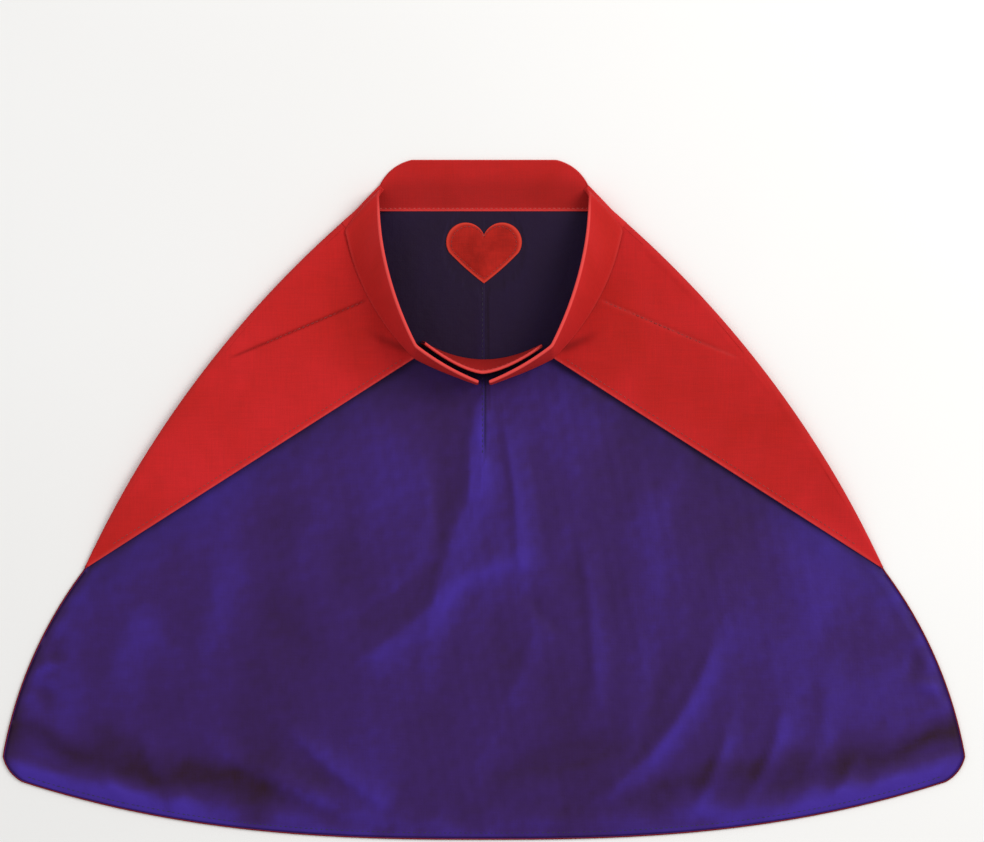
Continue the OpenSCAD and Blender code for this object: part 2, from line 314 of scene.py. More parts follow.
def cottonMaterial(look):
    # Plain woven quilting cotton, piece dyed and washed: matt, softly mottled, with slubs along both
    # threads. A highlight is painted wherever an edge is turned over, and shade is painted where the shade
    # mark asks.
    look = {**cottonWeave, **look}
    material, tree = newMaterial(look["name"])
    place, rim, shade = [addNode(tree, "ShaderNodeAttribute", attribute_name=mark)
                         for mark in ("clothPlace", "rim", "shade")]
    mottle = addNode(tree, "ShaderNodeTexNoise", {"Scale": 1000 / look["mottleSize"], "Detail": 3.0,
                     "Roughness": 0.55, "Distortion": 0.4}, {"Vector": (place, "Vector")})
    spread = addNode(tree, "ShaderNodeMapRange", {1: 0.3, 2: 0.7, 3: 0.0, 4: 1.0},
                     {"Value": (mottle, "Fac")})
    base = addNode(tree, "ShaderNodeMix", {6: toLinear(look["dark"]), 7: toLinear(look["light"])},
                   {"Factor": (spread, "Result")}, data_type="RGBA")
    slubs = slubPattern(tree, place, look)
    slubTone = addNode(tree, "ShaderNodeMapRange", {1: 0.7, 2: 1.3, 3: 1 - look["slubDepth"],
                       4: 1 + look["slubDepth"]}, {"Value": (slubs, "Value")})
    toned = addNode(tree, "ShaderNodeVectorMath", {}, {0: (base, 2), "Scale": (slubTone, "Result")},
                    operation="SCALE")
    # painted shade: the shade mark darkens the colour towards a dark shade colour
    shaded = addNode(tree, "ShaderNodeMix", {7: toLinear(look["shadeColour"])},
                     {"Factor": (shade, "Fac"), 6: (toned, "Vector")}, data_type="RGBA")
    # painted highlight: the rim mark lightens the colour towards the light edge colour
    rimHighlightShare = addNode(tree, "ShaderNodeMath", {1: look["rimHighlightShare"]}, {0: (rim, "Fac")}, operation="MULTIPLY")
    colour = addNode(tree, "ShaderNodeMix", {7: toLinear(look["edge"])},
                     {"Factor": (rimHighlightShare, "Value"), 6: (shaded, 2)}, data_type="RGBA")
    relief = wovenRelief(tree, place, look)
    rough = addNode(tree, "ShaderNodeMapRange", {1: 0.6, 2: 1.4, 3: 0.78, 4: 0.92},
                    {"Value": (slubs, "Value")})
    shader = addNode(tree, "ShaderNodeBsdfPrincipled",
                     {"IOR": 1.5, "Specular IOR Level": 0.14, "Sheen Weight": look["sheen"],
                      "Sheen Roughness": 0.45, "Sheen Tint": toLinear(look["edge"])},
                     {"Base Color": (colour, 2), "Roughness": (rough, "Result"),
                      "Normal": (relief, "Normal")})
    addNode(tree, "ShaderNodeOutputMaterial", {}, {"Surface": (shader, "BSDF")})
    return material


def liningMaterial(look):
    # Shot lining: warp and weft of two colours. Its violet blue on the lit side of a fold and wine brown on
    # the other are painted light and shade, laid on per point. The weave is close and calendered, which
    # leaves a soft gloss.
    look = {**liningWeave, **look}
    material, tree = newMaterial(look["name"])
    place, tilt, shade = [addNode(tree, "ShaderNodeAttribute", attribute_name=mark)
                          for mark in ("clothPlace", "tilt", "shade")]
    mottle = addNode(tree, "ShaderNodeTexNoise", {"Scale": 1000 / look["mottleSize"], "Detail": 4.0,
                     "Roughness": 0.6, "Distortion": 0.6}, {"Vector": (place, "Vector")})
    mottleShift = addNode(tree, "ShaderNodeMapRange", {1: 0.3, 2: 0.7, 3: -look["mottleDepth"],
                          4: look["mottleDepth"]}, {"Value": (mottle, "Fac")})
    slubs = slubPattern(tree, place, look)
    slubShift = addNode(tree, "ShaderNodeMapRange", {1: 0.7, 2: 1.3, 3: -look["slubDepth"],
                        4: look["slubDepth"]}, {"Value": (slubs, "Value")})
    shift = addNode(tree, "ShaderNodeMath", {}, {0: (mottleShift, "Result"), 1: (slubShift, "Result")},
                    operation="ADD")
    turned = addNode(tree, "ShaderNodeMath", {}, {0: (tilt, "Fac"), 1: (shift, "Value")}, operation="ADD",
                     use_clamp=True)
    # painted light and shade: the ridge colour is the lit tone and the valley colour the shaded tone of the
    # one cloth
    ramp = addNode(tree, "ShaderNodeValToRGB", {}, {"Fac": (turned, "Value")})
    ramp.color_ramp.elements[0].color = toLinear(look["valleyShade"])
    ramp.color_ramp.elements[1].color = toLinear(look["ridge"])
    ramp.color_ramp.elements.new(0.5).color = toLinear(look["middle"])
    # painted shade: the shade mark darkens the colour towards a near-black shade colour
    colour = addNode(tree, "ShaderNodeMix", {7: toLinear(look["shadeColour"])},
                     {"Factor": (shade, "Fac"), 6: (ramp, "Color")}, data_type="RGBA")
    shader = addNode(tree, "ShaderNodeBsdfPrincipled",
                     {"Roughness": 0.62, "IOR": 1.5, "Specular IOR Level": 0.16, "Sheen Weight": 0.04,
                      "Sheen Roughness": 0.35, "Sheen Tint": toLinear(look["ridge"])},
                     {"Base Color": (colour, 2), "Normal": (wovenRelief(tree, place, look), "Normal")})
    addNode(tree, "ShaderNodeOutputMaterial", {}, {"Surface": (shader, "BSDF")})
    return material


def threadMaterial(look):
    # Spun polyester sewing thread, two plies twisted: a soft highlight and a slanting twist.
    material, tree = newMaterial(look["name"])
    place = addNode(tree, "ShaderNodeTexCoord")
    twist = addNode(tree, "ShaderNodeTexWave", {"Scale": waveScale(look["twistPitch"]), "Distortion": 1.0},
                    {"Vector": (place, "Object")}, wave_type="BANDS", bands_direction="DIAGONAL")
    patchy = addNode(tree, "ShaderNodeTexNoise", {"Scale": 160.0, "Detail": 2.0},
                     {"Vector": (place, "Object")})
    tone = addNode(tree, "ShaderNodeMath", {}, {0: (twist, "Fac"), 1: (patchy, "Fac")}, operation="MULTIPLY")
    colour = addNode(tree, "ShaderNodeMix", {6: toLinear(look["dark"]), 7: toLinear(look["light"])},
                     {"Factor": (tone, "Value")}, data_type="RGBA")
    bump = addNode(tree, "ShaderNodeBump", {"Strength": 0.5, "Distance": 0.0001}, {"Height": (twist, "Fac")})
    shader = addNode(tree, "ShaderNodeBsdfPrincipled",
                     {"Roughness": 0.6, "IOR": 1.5, "Sheen Weight": 0.2},
                     {"Base Color": (colour, 2), "Normal": (bump, "Normal")})
    addNode(tree, "ShaderNodeOutputMaterial", {}, {"Surface": (shader, "BSDF")})
    return material


def tapeMaterial(look):
    # Woven nylon fastening tape: a ribbed ground with a nap or hooks, slightly glossy.
    material, tree = newMaterial(look["name"])
    place = addNode(tree, "ShaderNodeTexCoord")
    rib = addNode(tree, "ShaderNodeTexVoronoi", {"Scale": 1000 / look["grain"]},
                  {"Vector": (place, "Object")})
    fibres = addNode(tree, "ShaderNodeTexNoise", {"Scale": 900.0, "Detail": 4.0},
                     {"Vector": (place, "Object")})
    tone = addNode(tree, "ShaderNodeMath", {}, {0: (rib, "Distance"), 1: (fibres, "Fac")}, operation="ADD",
                   use_clamp=True)
    colour = addNode(tree, "ShaderNodeMix", {6: toLinear(look["dark"]), 7: toLinear(look["light"])},
                     {"Factor": (tone, "Value")}, data_type="RGBA")
    bump = addNode(tree, "ShaderNodeBump", {"Strength": 0.8, "Distance": 0.0004}, {"Height": (tone, "Value")})
    shader = addNode(tree, "ShaderNodeBsdfPrincipled",
                     {"Roughness": look["roughness"], "IOR": 1.53, "Sheen Weight": look["sheen"]},
                     {"Base Color": (colour, 2), "Normal": (bump, "Normal")})
    addNode(tree, "ShaderNodeOutputMaterial", {}, {"Surface": (shader, "BSDF")})
    return material


def floorMaterial(look):
    # Painted board: pale, matt, with only a trace of unevenness.
    material, tree = newMaterial(look["name"])
    place = addNode(tree, "ShaderNodeTexCoord")
    cloud = addNode(tree, "ShaderNodeTexNoise", {"Scale": 3.0}, {"Vector": (place, "Object")})
    colour = addNode(tree, "ShaderNodeMix", {6: toLinear(look["dark"]), 7: toLinear(look["light"])},
                     {"Factor": (cloud, "Fac")}, data_type="RGBA")
    shader = addNode(tree, "ShaderNodeBsdfPrincipled", {"Roughness": 0.9, "Specular IOR Level": 0.1},
                     {"Base Color": (colour, 2)})
    addNode(tree, "ShaderNodeOutputMaterial", {}, {"Surface": (shader, "BSDF")})
    return material


cottonWeave = {
    "wander": {"Distortion": 1.2, "Detail": 1.0, "Detail Scale": 0.6}, "threadStrength": 0.35,
    "threadDepth": 0.12, "creaseRoughness": 0.6, "creaseDepth": 1.2, "sheen": 0.05}
liningWeave = {
    "wander": {"Distortion": 0.8}, "threadStrength": 0.3, "threadDepth": 0.08, "creaseRoughness": 0.55,
    "creaseDepth": 1.5}
redCotton = cottonMaterial({
    "name": "redPlainWovenCotton", "light": "#c92427", "dark": "#b41e19", "shadeColour": "#5c0e0c",
    "edge": "#ea4e4c", "rimHighlightShare": 0.6, "mottleSize": 75, "slubWidth": 1.1, "slubLength": 16,
    "slubDepth": 0.07, "threadPitch": 1.1, "creaseSize": 14, "creaseStrength": 0.22})
collarCotton = cottonMaterial({
    "name": "redStiffenedCotton", "light": "#c62425", "dark": "#b31e19", "shadeColour": "#5c0e0b",
    "edge": "#ee5450", "rimHighlightShare": 0.7, "mottleSize": 60, "slubWidth": 1.0, "slubLength": 14,
    "slubDepth": 0.06, "threadPitch": 1.0, "creaseSize": 10, "creaseStrength": 0.15})
heartCotton = cottonMaterial({
    "name": "redAppliqueCotton", "light": "#b3231b", "dark": "#961911", "shadeColour": "#640f0b",
    "edge": "#dc4434", "rimHighlightShare": 0.8, "mottleSize": 18, "slubWidth": 0.9, "slubLength": 9,
    "slubDepth": 0.11, "threadPitch": 1.0, "creaseSize": 6, "creaseStrength": 0.25})
purpleLining = liningMaterial({
    "name": "shotWovenLining", "ridge": "#412893", "middle": "#371b5f", "valleyShade": "#2a1026",
    "shadeColour": "#130511", "mottleSize": 70, "mottleDepth": 0.10, "slubWidth": 0.9, "slubLength": 12,
    "slubDepth": 0.035, "threadPitch": 1.0, "creaseSize": 8, "creaseStrength": 0.28})
redThread = threadMaterial({"name": "redSpunThread", "dark": "#7c1612", "light": "#c83a34",
                            "twistPitch": 0.5})
brightThread = threadMaterial({"name": "brightRedSpunThread", "dark": "#b02a26", "light": "#e85850",
                               "twistPitch": 0.5})
# painted shade: the purple thread is near black so that the pleat's stitching reads as its dark shadow line;
# the hem stitches share it
purpleThread = threadMaterial({"name": "purpleSpunThread", "dark": "#0e071c", "light": "#1e1140",
                               "twistPitch": 0.5})
hookNylon = tapeMaterial({"name": "wovenHookNylon", "dark": "#120c0e", "light": "#382a30", "grain": 0.9,
                          "roughness": 0.45, "sheen": 0.0})
loopNylon = tapeMaterial({"name": "brushedLoopNylon", "dark": "#4a0f14", "light": "#8c2a30", "grain": 0.7,
                          "roughness": 0.9, "sheen": 0.5})
print("materials made")


# ---- back panel: shell and lining ----

backPanel = {
    "rows": 170, "columns": 250, "middleCrowding": 1.3,  # columns crowd towards the pleat in the middle
    "tipFade": 70,                          # the fold flattens over this length above its lower end
}
shellLayer = {
    "base": 0.15, "thickness": 0.4,         # height of the seen face before its folds
    "foldRadius": 3.85, "inset": 0, "rimRadius": 0.6, "rimRise": 0.72,      # the rim is turned over
    "shoulderTurn": 96, "rimTurn": 205,
    "frontInset": 0, "tipRadius": 1.25, "tipHeight": 2.7, "frontBelow": 0, "frontEdgeIn": 0,
    "freeEdgeRadius": 0.65,
}
liningLayer = {
    "base": 1.15, "thickness": 0.3,
    "foldRadius": 2.8, "inset": 0.75, "rimRadius": 0.5, "rimRise": 0.12,
    "shoulderTurn": 96, "rimTurn": 88,
    "frontInset": 1.0, "tipRadius": 0.35, "tipHeight": 1.95, "frontBelow": 0.95, "frontEdgeIn": 1.5,
    "freeEdgeRadius": 0,
}

rightEdge = np.concatenate([
    bowAt(foldTop, tip, outline["shoulderBow"], np.linspace(0, 1, 60)),
    bowAt(tip, sideEnd, outline["sideBow"], np.linspace(0, 1, 30))[1:],
    bowAt(sideEnd, point(hemHalf - outline["hemCorner"], hemAt(hemHalf - outline["hemCorner"])),
          outline["hemCorner"] / 4, np.linspace(0, 1, 10))[1:]])
shoulderPath = bowAt(foldTop, tip, outline["shoulderBow"], np.linspace(0, 1, 200))
shoulderLength = lengthOf(shoulderPath)
hemTurnX = hemHalf - outline["hemCorner"]
freeWay = (tip - neckPoint) / np.linalg.norm(tip - neckPoint)      # along a front's free edge
intoFront = leftOf(neckPoint, tip)

downShares = np.linspace(0, 1, backPanel["rows"] + 1)
acrossHalf = np.linspace(0, 1, backPanel["columns"] // 2 + 1) ** backPanel["middleCrowding"]
across = np.concatenate([-acrossHalf[:0:-1], acrossHalf])

rightPath = resample(rightEdge, downShares)
hemX = hemTurnX * acrossHalf[::-1]
hemPath = np.stack([hemX, hemAt(hemX)], 1)
wholeEdge = np.concatenate([rightPath, hemPath[1:]])
wholeNormals = leftNormals(wholeEdge)
edgeRun = np.concatenate([[0], np.cumsum(np.linalg.norm(np.diff(wholeEdge, axis=0), axis=1))])
tipNearness = smooth((shoulderLength - edgeRun) / backPanel["tipFade"])   # 1 on the shoulder, 0 below the tip


def backGrids(layer, heightFor):
    # the flat part of a layer, then its rolled edge on the right and on the left
    rolls = layer["rimRadius"] + (layer["foldRadius"] - layer["rimRadius"]) * tipNearness
    path = wholeEdge - wholeNormals * layer["inset"]
    inner = path - wholeNormals * rolls[:, None]
    right, hem = inner[:len(rightPath)], inner[len(rightPath) - 1:][::-1]
    top = np.stack([across * right[0, 0],
                    right[0, 1] + (neckY + 2 - right[0, 1]) * (1 - np.abs(across) ** 4)], 1)
    bottom = np.concatenate([hem[::-1][:-1] * point(-1, 1), hem])
    plan = patch(top, bottom, right * point(-1, 1), right, (across + 1) / 2, downShares)
    rises = layer["rimRise"] + (layer["foldRadius"] - layer["rimRise"]) * tipNearness
    turns = layer["rimTurn"] + (layer["shoulderTurn"] - layer["rimTurn"]) * tipNearness
    roll = rollRows(path, wholeNormals, layer["base"], rolls, rises, turns)
    return [withHeight(plan, heightFor(plan)), roll, mirrored(roll)]


foldsOfLining = [
    # start and end of each fold, its bow, its half width on the steep and on the soft side, its height
    ((-3, 62), (-8, 0), -3, 5, 10, 1.9),
    ((-4, 14), (-38, -109), -6, 6, 12, 1.7),
    ((-28, -58), (30, -34), 4, 6, 8, 1.4),
    ((32, -80), (12, -130), 3, 5, 9, 1.0),
    ((-4, -176), (92, -150), 5, 9, 10, -1.3),
    ((112, -90), (98, -150), 3, 7, 8, -1.1),
    ((-141, -160), (-91, -190), -4, 4.5, 8, 1.3),
    ((12, 52), (22, -50), 4, 4, 9, 1.5),
    ((-28, 36), (-30, -34), 2, 6, 7, -1.1),
    ((-26, -34), (-88, -80), 6, 6, 12, -1.1),
    ((-18, -50), (-78, -100), 5, 5, 11, 1.3),
    ((24, -52), (50, -82), -3, 5, 9, -1.0),
    ((62, -26), (69, -134), 3, 5, 9, 1.4),
    ((96, 10), (104, -60), 4, 9, 14, 0.8),
    ((146, -80), (70, -186), 17, 4.5, 9, 1.9),
    ((153, -136), (128, -194), 6, 4, 8, 1.5),
    ((185, -130), (160, -190), 7, 4, 8, 1.5),
    ((214, -110), (196, -180), 8, 6, 9, 1.1),
    ((-124, -138), (-54, -192), -5, 4.5, 9, 1.7),
    ((-170, -150), (-94, -188), -6, 4.5, 9, 1.5),
    ((-205, -60), (-232, -132), -8, 8, 13, 1.0),
    ((-150, -30), (-176, -104), -6, 9, 14, 0.8),
    ((-96, 6), (-120, -60), -5, 9, 14, 0.8),
    ((170, -20), (206, -84), 7, 9, 13, 0.9),
]
foldsNearEdges = [
    # the same for short folds that run right up to the sewn edges
    ((-213, -140), (-187, -194), -3, 5, 8, 1.2),
    ((-184, -152), (-168, -194), -3, 8, 9, -1.2),
    ((-290, -146), (-256, -166), -3, 8, 9, -1.3),
    ((-239, -166), (-216, -192), -2, 4, 6, 1.1),
    ((-270, -86), (-265, -102), 1, 4, 5, -1.0),
    ((-282, -108), (-264, -102), 2, 3.5, 5, 1.1),
    ((-279, -113), (-270, -132), 2, 5, 7, -1.3),
    ((-291, -134), (-276, -138), 2, 3.5, 5, 0.9),
    ((271, -96), (264, -112), -2, 4, 6, -1.1),
    ((284, -120), (266, -114), -2, 3.5, 5, 1.0),
    ((286, -142), (252, -162), 3, 8, 9, -1.2),
    ((232, -160), (214, -190), 2, 4, 7, 1.1),
]
edgePuckers = [
    # along each free side edge: distance below the fold's lower end, reach inwards, height
    (14, 16, 0.7), (36, 18, 0.8), (60, 16, 0.7), (80, 20, 0.8),
]
pleat = {"length": 151, "width": 7.0, "height": 1.0, "lineX": 0.0}
heartSpot = {"y": 157, "flatReach": 30, "sewnReach": 26}       # the lining lies flat under the heart
liningWaves = [
    # soft unevenness: height, size, random seed, how much longer it runs down the cloth than across
    (0.38, 46, 4, 1.8), (0.14, 17, 9, 1.6),
]
fineWave = (0.10, 7, 12)                        # the same, over all of the cloth
hemSwell = {
    # the turned-up allowance inside lifts the lining, and a hollow runs above it; both grow to the corners
    "at": 9, "width": 6.5, "height": 0.35, "hollowAt": 24, "hollowWidth": 7, "hollowShare": 0.55,
    "cornerFrom": 90, "cornerOver": 150, "cornerHeight": 1.1,
    "ripple": 0.30, "rippleSize": 20, "rippleAt": 10, "rippleWidth": 9,
}
room = {
    # how far the lining may rise from its base, and how much of that the pieces above it take away
    "free": 3.2, "underFronts": 1.3, "atTips": 0.97, "tipReach": 34, "atClosure": 0.58,
    "closureHalf": 66, "rise": 0.75, "dip": 0.25,
}


def foldHeights(folds, x, y):
    total = np.zeros(x.shape)
    for start, end, bow, steep, soft, height in folds:
        start, end = point(*start), point(*end)
        run = np.linspace(0, 1, 13)
        line = bowAt(start, end, bow, run)
        nearest = np.full(x.shape, 1e9)
        signed, along = np.zeros(x.shape), np.zeros(x.shape)
        for i in range(len(line) - 1):
            way = line[i + 1] - line[i]
            step = way @ way
            part = np.clip(((x - line[i, 0]) * way[0] + (y - line[i, 1]) * way[1]) / step, 0, 1)
            dx, dy = x - line[i, 0] - part * way[0], y - line[i, 1] - part * way[1]
            distance = np.hypot(dx, dy)
            closer = distance < nearest
            nearest = np.where(closer, distance, nearest)
            signed = np.where(closer, np.sign(way[0] * dy - way[1] * dx) * distance, signed)
            along = np.where(closer, run[i] + part * (run[i + 1] - run[i]), along)
        width = np.where(signed > 0, soft, steep)
        fade = np.sqrt(np.clip(np.sin(np.pi * np.clip(along, 0.02, 0.98)), 0, 1))
        total += height * fade * np.exp(-(signed / width) ** 2)
    return total


def hemHeights(x, fromHem, fromSide):
    corner = smooth((np.abs(x) - hemSwell["cornerFrom"]) / hemSwell["cornerOver"])
    hollow = np.exp(-((fromHem - hemSwell["hollowAt"]) / hemSwell["hollowWidth"]) ** 2)
    swell = np.exp(-((fromHem - hemSwell["at"]) / hemSwell["width"]) ** 2) - hemSwell["hollowShare"] * hollow
    swell = (hemSwell["height"] + hemSwell["cornerHeight"] * corner) * swell * smooth(fromSide / 5)
    ripple = softNoise(x, fromHem, hemSwell["rippleSize"], 31, stretch=0.5)
    near = np.exp(-((fromHem - hemSwell["rippleAt"]) / hemSwell["rippleWidth"]) ** 2)
    return swell, hemSwell["ripple"] * ripple * near * smooth(fromHem / 4)


def puckerHeights(x, y, fromSide):
    # puckers where the free side edge is sewn
    total = np.zeros(x.shape)
    for number, (down, reach, height) in enumerate(edgePuckers):
        for side in (-1, 1):
            shift = 5 * side * math.sin(number * 2.3)
            slant = 0.35 * fromSide
            ridge = np.exp(-((tip[1] - y - down - shift - slant) / 5.5) ** 2)
            reachIn = smooth(fromSide / 3.5) * np.exp(-(fromSide / reach) ** 2)
            total += height * ridge * reachIn * (np.sign(x) == side)
    return total


def pleatHeights(x, y):
    # the stitched pleat: a tuck that lies to one side, with a sharp edge on its line, and opens below
    inPleat = smooth((neckY - 2 - y) / 6) * smooth((y - (neckY - pleat["length"])) / 14)
    besideLine = pleat["lineX"] - x
    tuck = np.where(besideLine > 0, np.exp(-(besideLine / pleat["width"]) ** 2), 0)
    openBelow = smooth((neckY - pleat["length"] + 4 - y) / 10) * smooth((y - (neckY - 200)) / 40)
    return pleat["height"] * tuck * inPleat + 0.8 * np.exp(-(besideLine / 9) ** 2) * openBelow


def liningHeights(plan):
    x, y = plan[..., 0], plan[..., 1]
    fromHem = y - hemAt(x)
    edgeX = np.interp(y, rightPath[::-1, 1], rightPath[::-1, 0])
    fromSide = np.clip(edgeX - np.abs(x), 0, None) * 0.86
    inside = smooth(fromSide / 22) * smooth(fromHem / 16)
    nearlyAll = smooth(fromSide / 6) * smooth(fromHem / 6)
    folds = foldHeights(foldsOfLining, x, y) * inside
    folds += foldHeights(foldsNearEdges, x, y) * nearlyAll
    for height, size, seed, stretch in liningWaves:
        folds += height * softNoise(x, y, size, seed, stretch=stretch) * inside
    height, size, seed = fineWave
    folds += height * softNoise(x, y, size, seed) * nearlyAll
    swell, ripple = hemHeights(x, fromHem, fromSide)
    folds += swell
    folds += ripple
    folds += puckerHeights(x, y, fromSide)
    nearNeck = smooth((y - 66) / 26) * smooth((90 - np.abs(x)) / 20)
    folds = folds * (1 - 0.75 * nearNeck) + pleatHeights(x, y)
    underHeart = np.exp(-(np.hypot(x, y - heartSpot["y"]) / heartSpot["flatReach"]) ** 4)
    folds = folds * (1 - 0.9 * underHeart)
    underFront = smooth(frontReach(x, y) / 10)
    lift = (room["rise"] * inside + folds * (1 - 0.5 * underFront)) * tipPress(x, y)
    return np.minimum(liningLayer["base"] + np.maximum(lift, -room["dip"]), liningCeiling(x, y))


def tipPress(x, y):
    # 1 where the lining is free, near 0 where the tip of a folded front holds it down
    nearTip = np.exp(-(np.hypot(np.abs(x) - tip[0], y - tip[1]) / room["tipReach"]) ** 2)
    return 1 - room["atTips"] * nearTip * smooth(frontReach(x, y) / 6 + 1)


def liningCeiling(x, y):
    # the folded fronts press on the cloth beneath them, most at their tips, and the closure does too
    underFront = smooth(frontReach(x, y) / 10)
    nearClosure = (np.exp(-((y - neckPoint[1] + 4) / 20) ** 4)
                   * smooth((room["closureHalf"] - np.abs(x)) / 16))
    height = (room["free"] - room["underFronts"] * underFront) * tipPress(x, y)
    return liningLayer["base"] + height * (1 - room["atClosure"] * nearClosure) + 0.02


clothSettling = {
    "every": 2,                    # the settling cloth has a point at every second point of the lining
    "mass": 0.05, "stretch": 15.0, "shear": 5.0, "bend": 0.5, "quality": 5, "frames": 12,
    "pressed": 0.7,                # how far the cloth keeps the folds it was pressed and stored with
    "groundBelow": 0.35, "gap": 0.0002, "groundReach": 400,
}


def settledLining(grid, held):
    # the lining settles under its own weight on a level ground that stands for the shell beneath it
    settings = clothSettling
    every = settings["every"]
    coarse = grid[::every, ::every]
    rows, columns = coarse.shape[:2]
    cloth = meshObject("settling", coarse.reshape(-1, 3), gridFaces(rows, columns).tolist())
    sewn = cloth.vertex_groups.new(name="sewn")
    sewn.add(np.flatnonzero(held[::every, ::every]).tolist(), 1.0, "REPLACE")
    ground = levelSquare("underneath", settings["groundReach"], liningLayer["base"] - settings["groundBelow"])
    ground.modifiers.new("ground", "COLLISION")
    ground.collision.thickness_outer = settings["gap"]
    modifier = cloth.modifiers.new("cloth", "CLOTH")
    fabric = modifier.settings
    fabric.quality, fabric.mass = settings["quality"], settings["mass"]
    fabric.tension_stiffness = fabric.compression_stiffness = settings["stretch"]
    fabric.shear_stiffness, fabric.bending_stiffness = settings["shear"], settings["bend"]
    fabric.vertex_group_mass = "sewn"
    modifier.collision_settings.distance_min = settings["gap"]
    modifier.collision_settings.use_self_collision = False
    for number in range(1, settings["frames"] + 1):
        bpy.context.scene.frame_set(number)
    settled = cloth.evaluated_get(bpy.context.evaluated_depsgraph_get()).to_mesh()
    spots = np.empty(len(settled.vertices) * 3)
    settled.vertices.foreach_get("co", spots)
    moved = spots.reshape(rows, columns, 3) * 1000 - coarse
    bpy.data.objects.remove(cloth)
    bpy.data.objects.remove(ground)
    bpy.context.scene.frame_set(1)
    fine = np.zeros(grid.shape)
    rowSpots, columnSpots = np.arange(grid.shape[0]) / every, np.arange(grid.shape[1]) / every
    for axis in range(3):
        alongRows = np.array([np.interp(rowSpots, np.arange(rows), moved[:, k, axis])
                              for k in range(columns)]).T
        fine[..., axis] = [np.interp(columnSpots, np.arange(columns), row) for row in alongRows]
    return grid + fine


def frontReach(x, y):
    # how far a spot lies under the folded front, measured in from the front's free edge
    return (np.abs(x) - neckPoint[0]) * intoFront[0] + (y - neckPoint[1]) * intoFront[1]


def makeBackPanel():
    def shellHeights(plan):
        return shellLayer["base"] + 0.12 * (1 + softNoise(plan[..., 0], plan[..., 1], 60, 21))

    shellGrids = backGrids(shellLayer, shellHeights)
    # painted on the shell's turned rim: a faint painted highlight and a dark painted shade line below the
    # tips, along the sides and hem, with lighter painted shade on the shoulders
    rimRow = np.linspace(0, 1, shellGrids[1].shape[0])[:, None]
    rimHighlight = np.exp(-((rimRow - 0.55) / 0.3) ** 2) * (1 - tipNearness)[None, :] * 0.1
    rimShade = 0.15 + 0.7 * (1 - tipNearness)[None, :] * np.ones(rimRow.shape)
    shell = addPiece("backShell", shellGrids, redCotton, thickness=shellLayer["thickness"], up=False,
                     marks={"rim": [0.0, rimHighlight, rimHighlight], "shade": [0.0, rimShade, rimShade]})
    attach(shell, "back")
    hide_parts("shell_back", "shell_fold_left", "shell_fold_right")

    liningGrids = backGrids(liningLayer, liningHeights)
    flat = liningGrids[0]
    x, y = flat[..., 0], flat[..., 1]
    held = (np.hypot(x, y - heartSpot["y"]) < heartSpot["sewnReach"])
    held |= (np.abs(x) < 3) & (y > neckY - pleat["length"])
    held[0] = held[-1] = held[:, 0] = held[:, -1] = True      # sewn along its edges, pleat and heart
    kept = clothSettling["pressed"]
    settled = flat * kept + settledLining(flat, held) * (1 - kept)
    settled[..., 2] = np.minimum(settled[..., 2], liningCeiling(settled[..., 0], settled[..., 1]))
    liningGrids[0] = settled
    flat = liningGrids[0]
    lining = addPiece("backLining", liningGrids, purpleLining, thickness=liningLayer["thickness"], up=True,
                      marks={"tilt": [liningToneAndPaintedLight(flat), 0.5, 0.5], "shade": [liningShade(flat), 0.0, 0.0]})
    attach(lining, "back")
    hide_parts("lining_back", "lining_fold_left", "lining_fold_right")
    return shell, lining, flat


# strengths of the painted light and shade on the lining, and the length of its painted dark neck
shotLook = {"even": 0.45, "slopeLight": 0.75, "crestLight": 0.21, "hemHighlight": 0.38, "hemValleyShade": 0.36,
            "edgeShadowBlue": 0.24, "edgeShadow": 0.34, "neckShadow": 0.8, "neckLength": 84}


def liningToneAndPaintedLight(flat):
    # painted light and shade: the blue tone is painted on crests, on slopes facing the key light at +X and
    # along the hem, the wine brown in a hollow above the hem; a blue painted shadow lies by the front edges;
    # plus random tone
    x, y, z = flat[..., 0], flat[..., 1], flat[..., 2]
    slope = np.gradient(z, axis=1) / np.maximum(np.abs(np.gradient(x, axis=1)), 0.05)
    slopeDown = np.gradient(z, axis=0) / np.minimum(np.gradient(y, axis=0), -0.05)
    slopes = np.clip(slopeDown - slope, -0.34, 0.34) * shotLook["slopeLight"]
    height = (z - liningLayer["base"] - 0.9) * shotLook["crestLight"]
    fromHem = y - hemAt(x) + 5 * softNoise(x, y, 26, 77)
    corner = smooth((np.abs(x) - 40) / 130)
    litHemBand = shotLook["hemHighlight"] * np.exp(-(fromHem / 15) ** 2) * (0.25 + 0.75 * corner)
    valleyShade = shotLook["hemValleyShade"] * np.exp(-((fromHem - 31) / 11) ** 2) * corner
    broad = 0.10 * softNoise(x, y, 90, 83, stretch=1.5)
    blue = shotLook["edgeShadowBlue"] * smooth(1 + frontReach(x, y) / 34) * smooth((np.abs(x) - 90) / 90)
    return np.clip(shotLook["even"] + slopes + height + litHemBand - valleyShade + broad + blue, 0, 1)


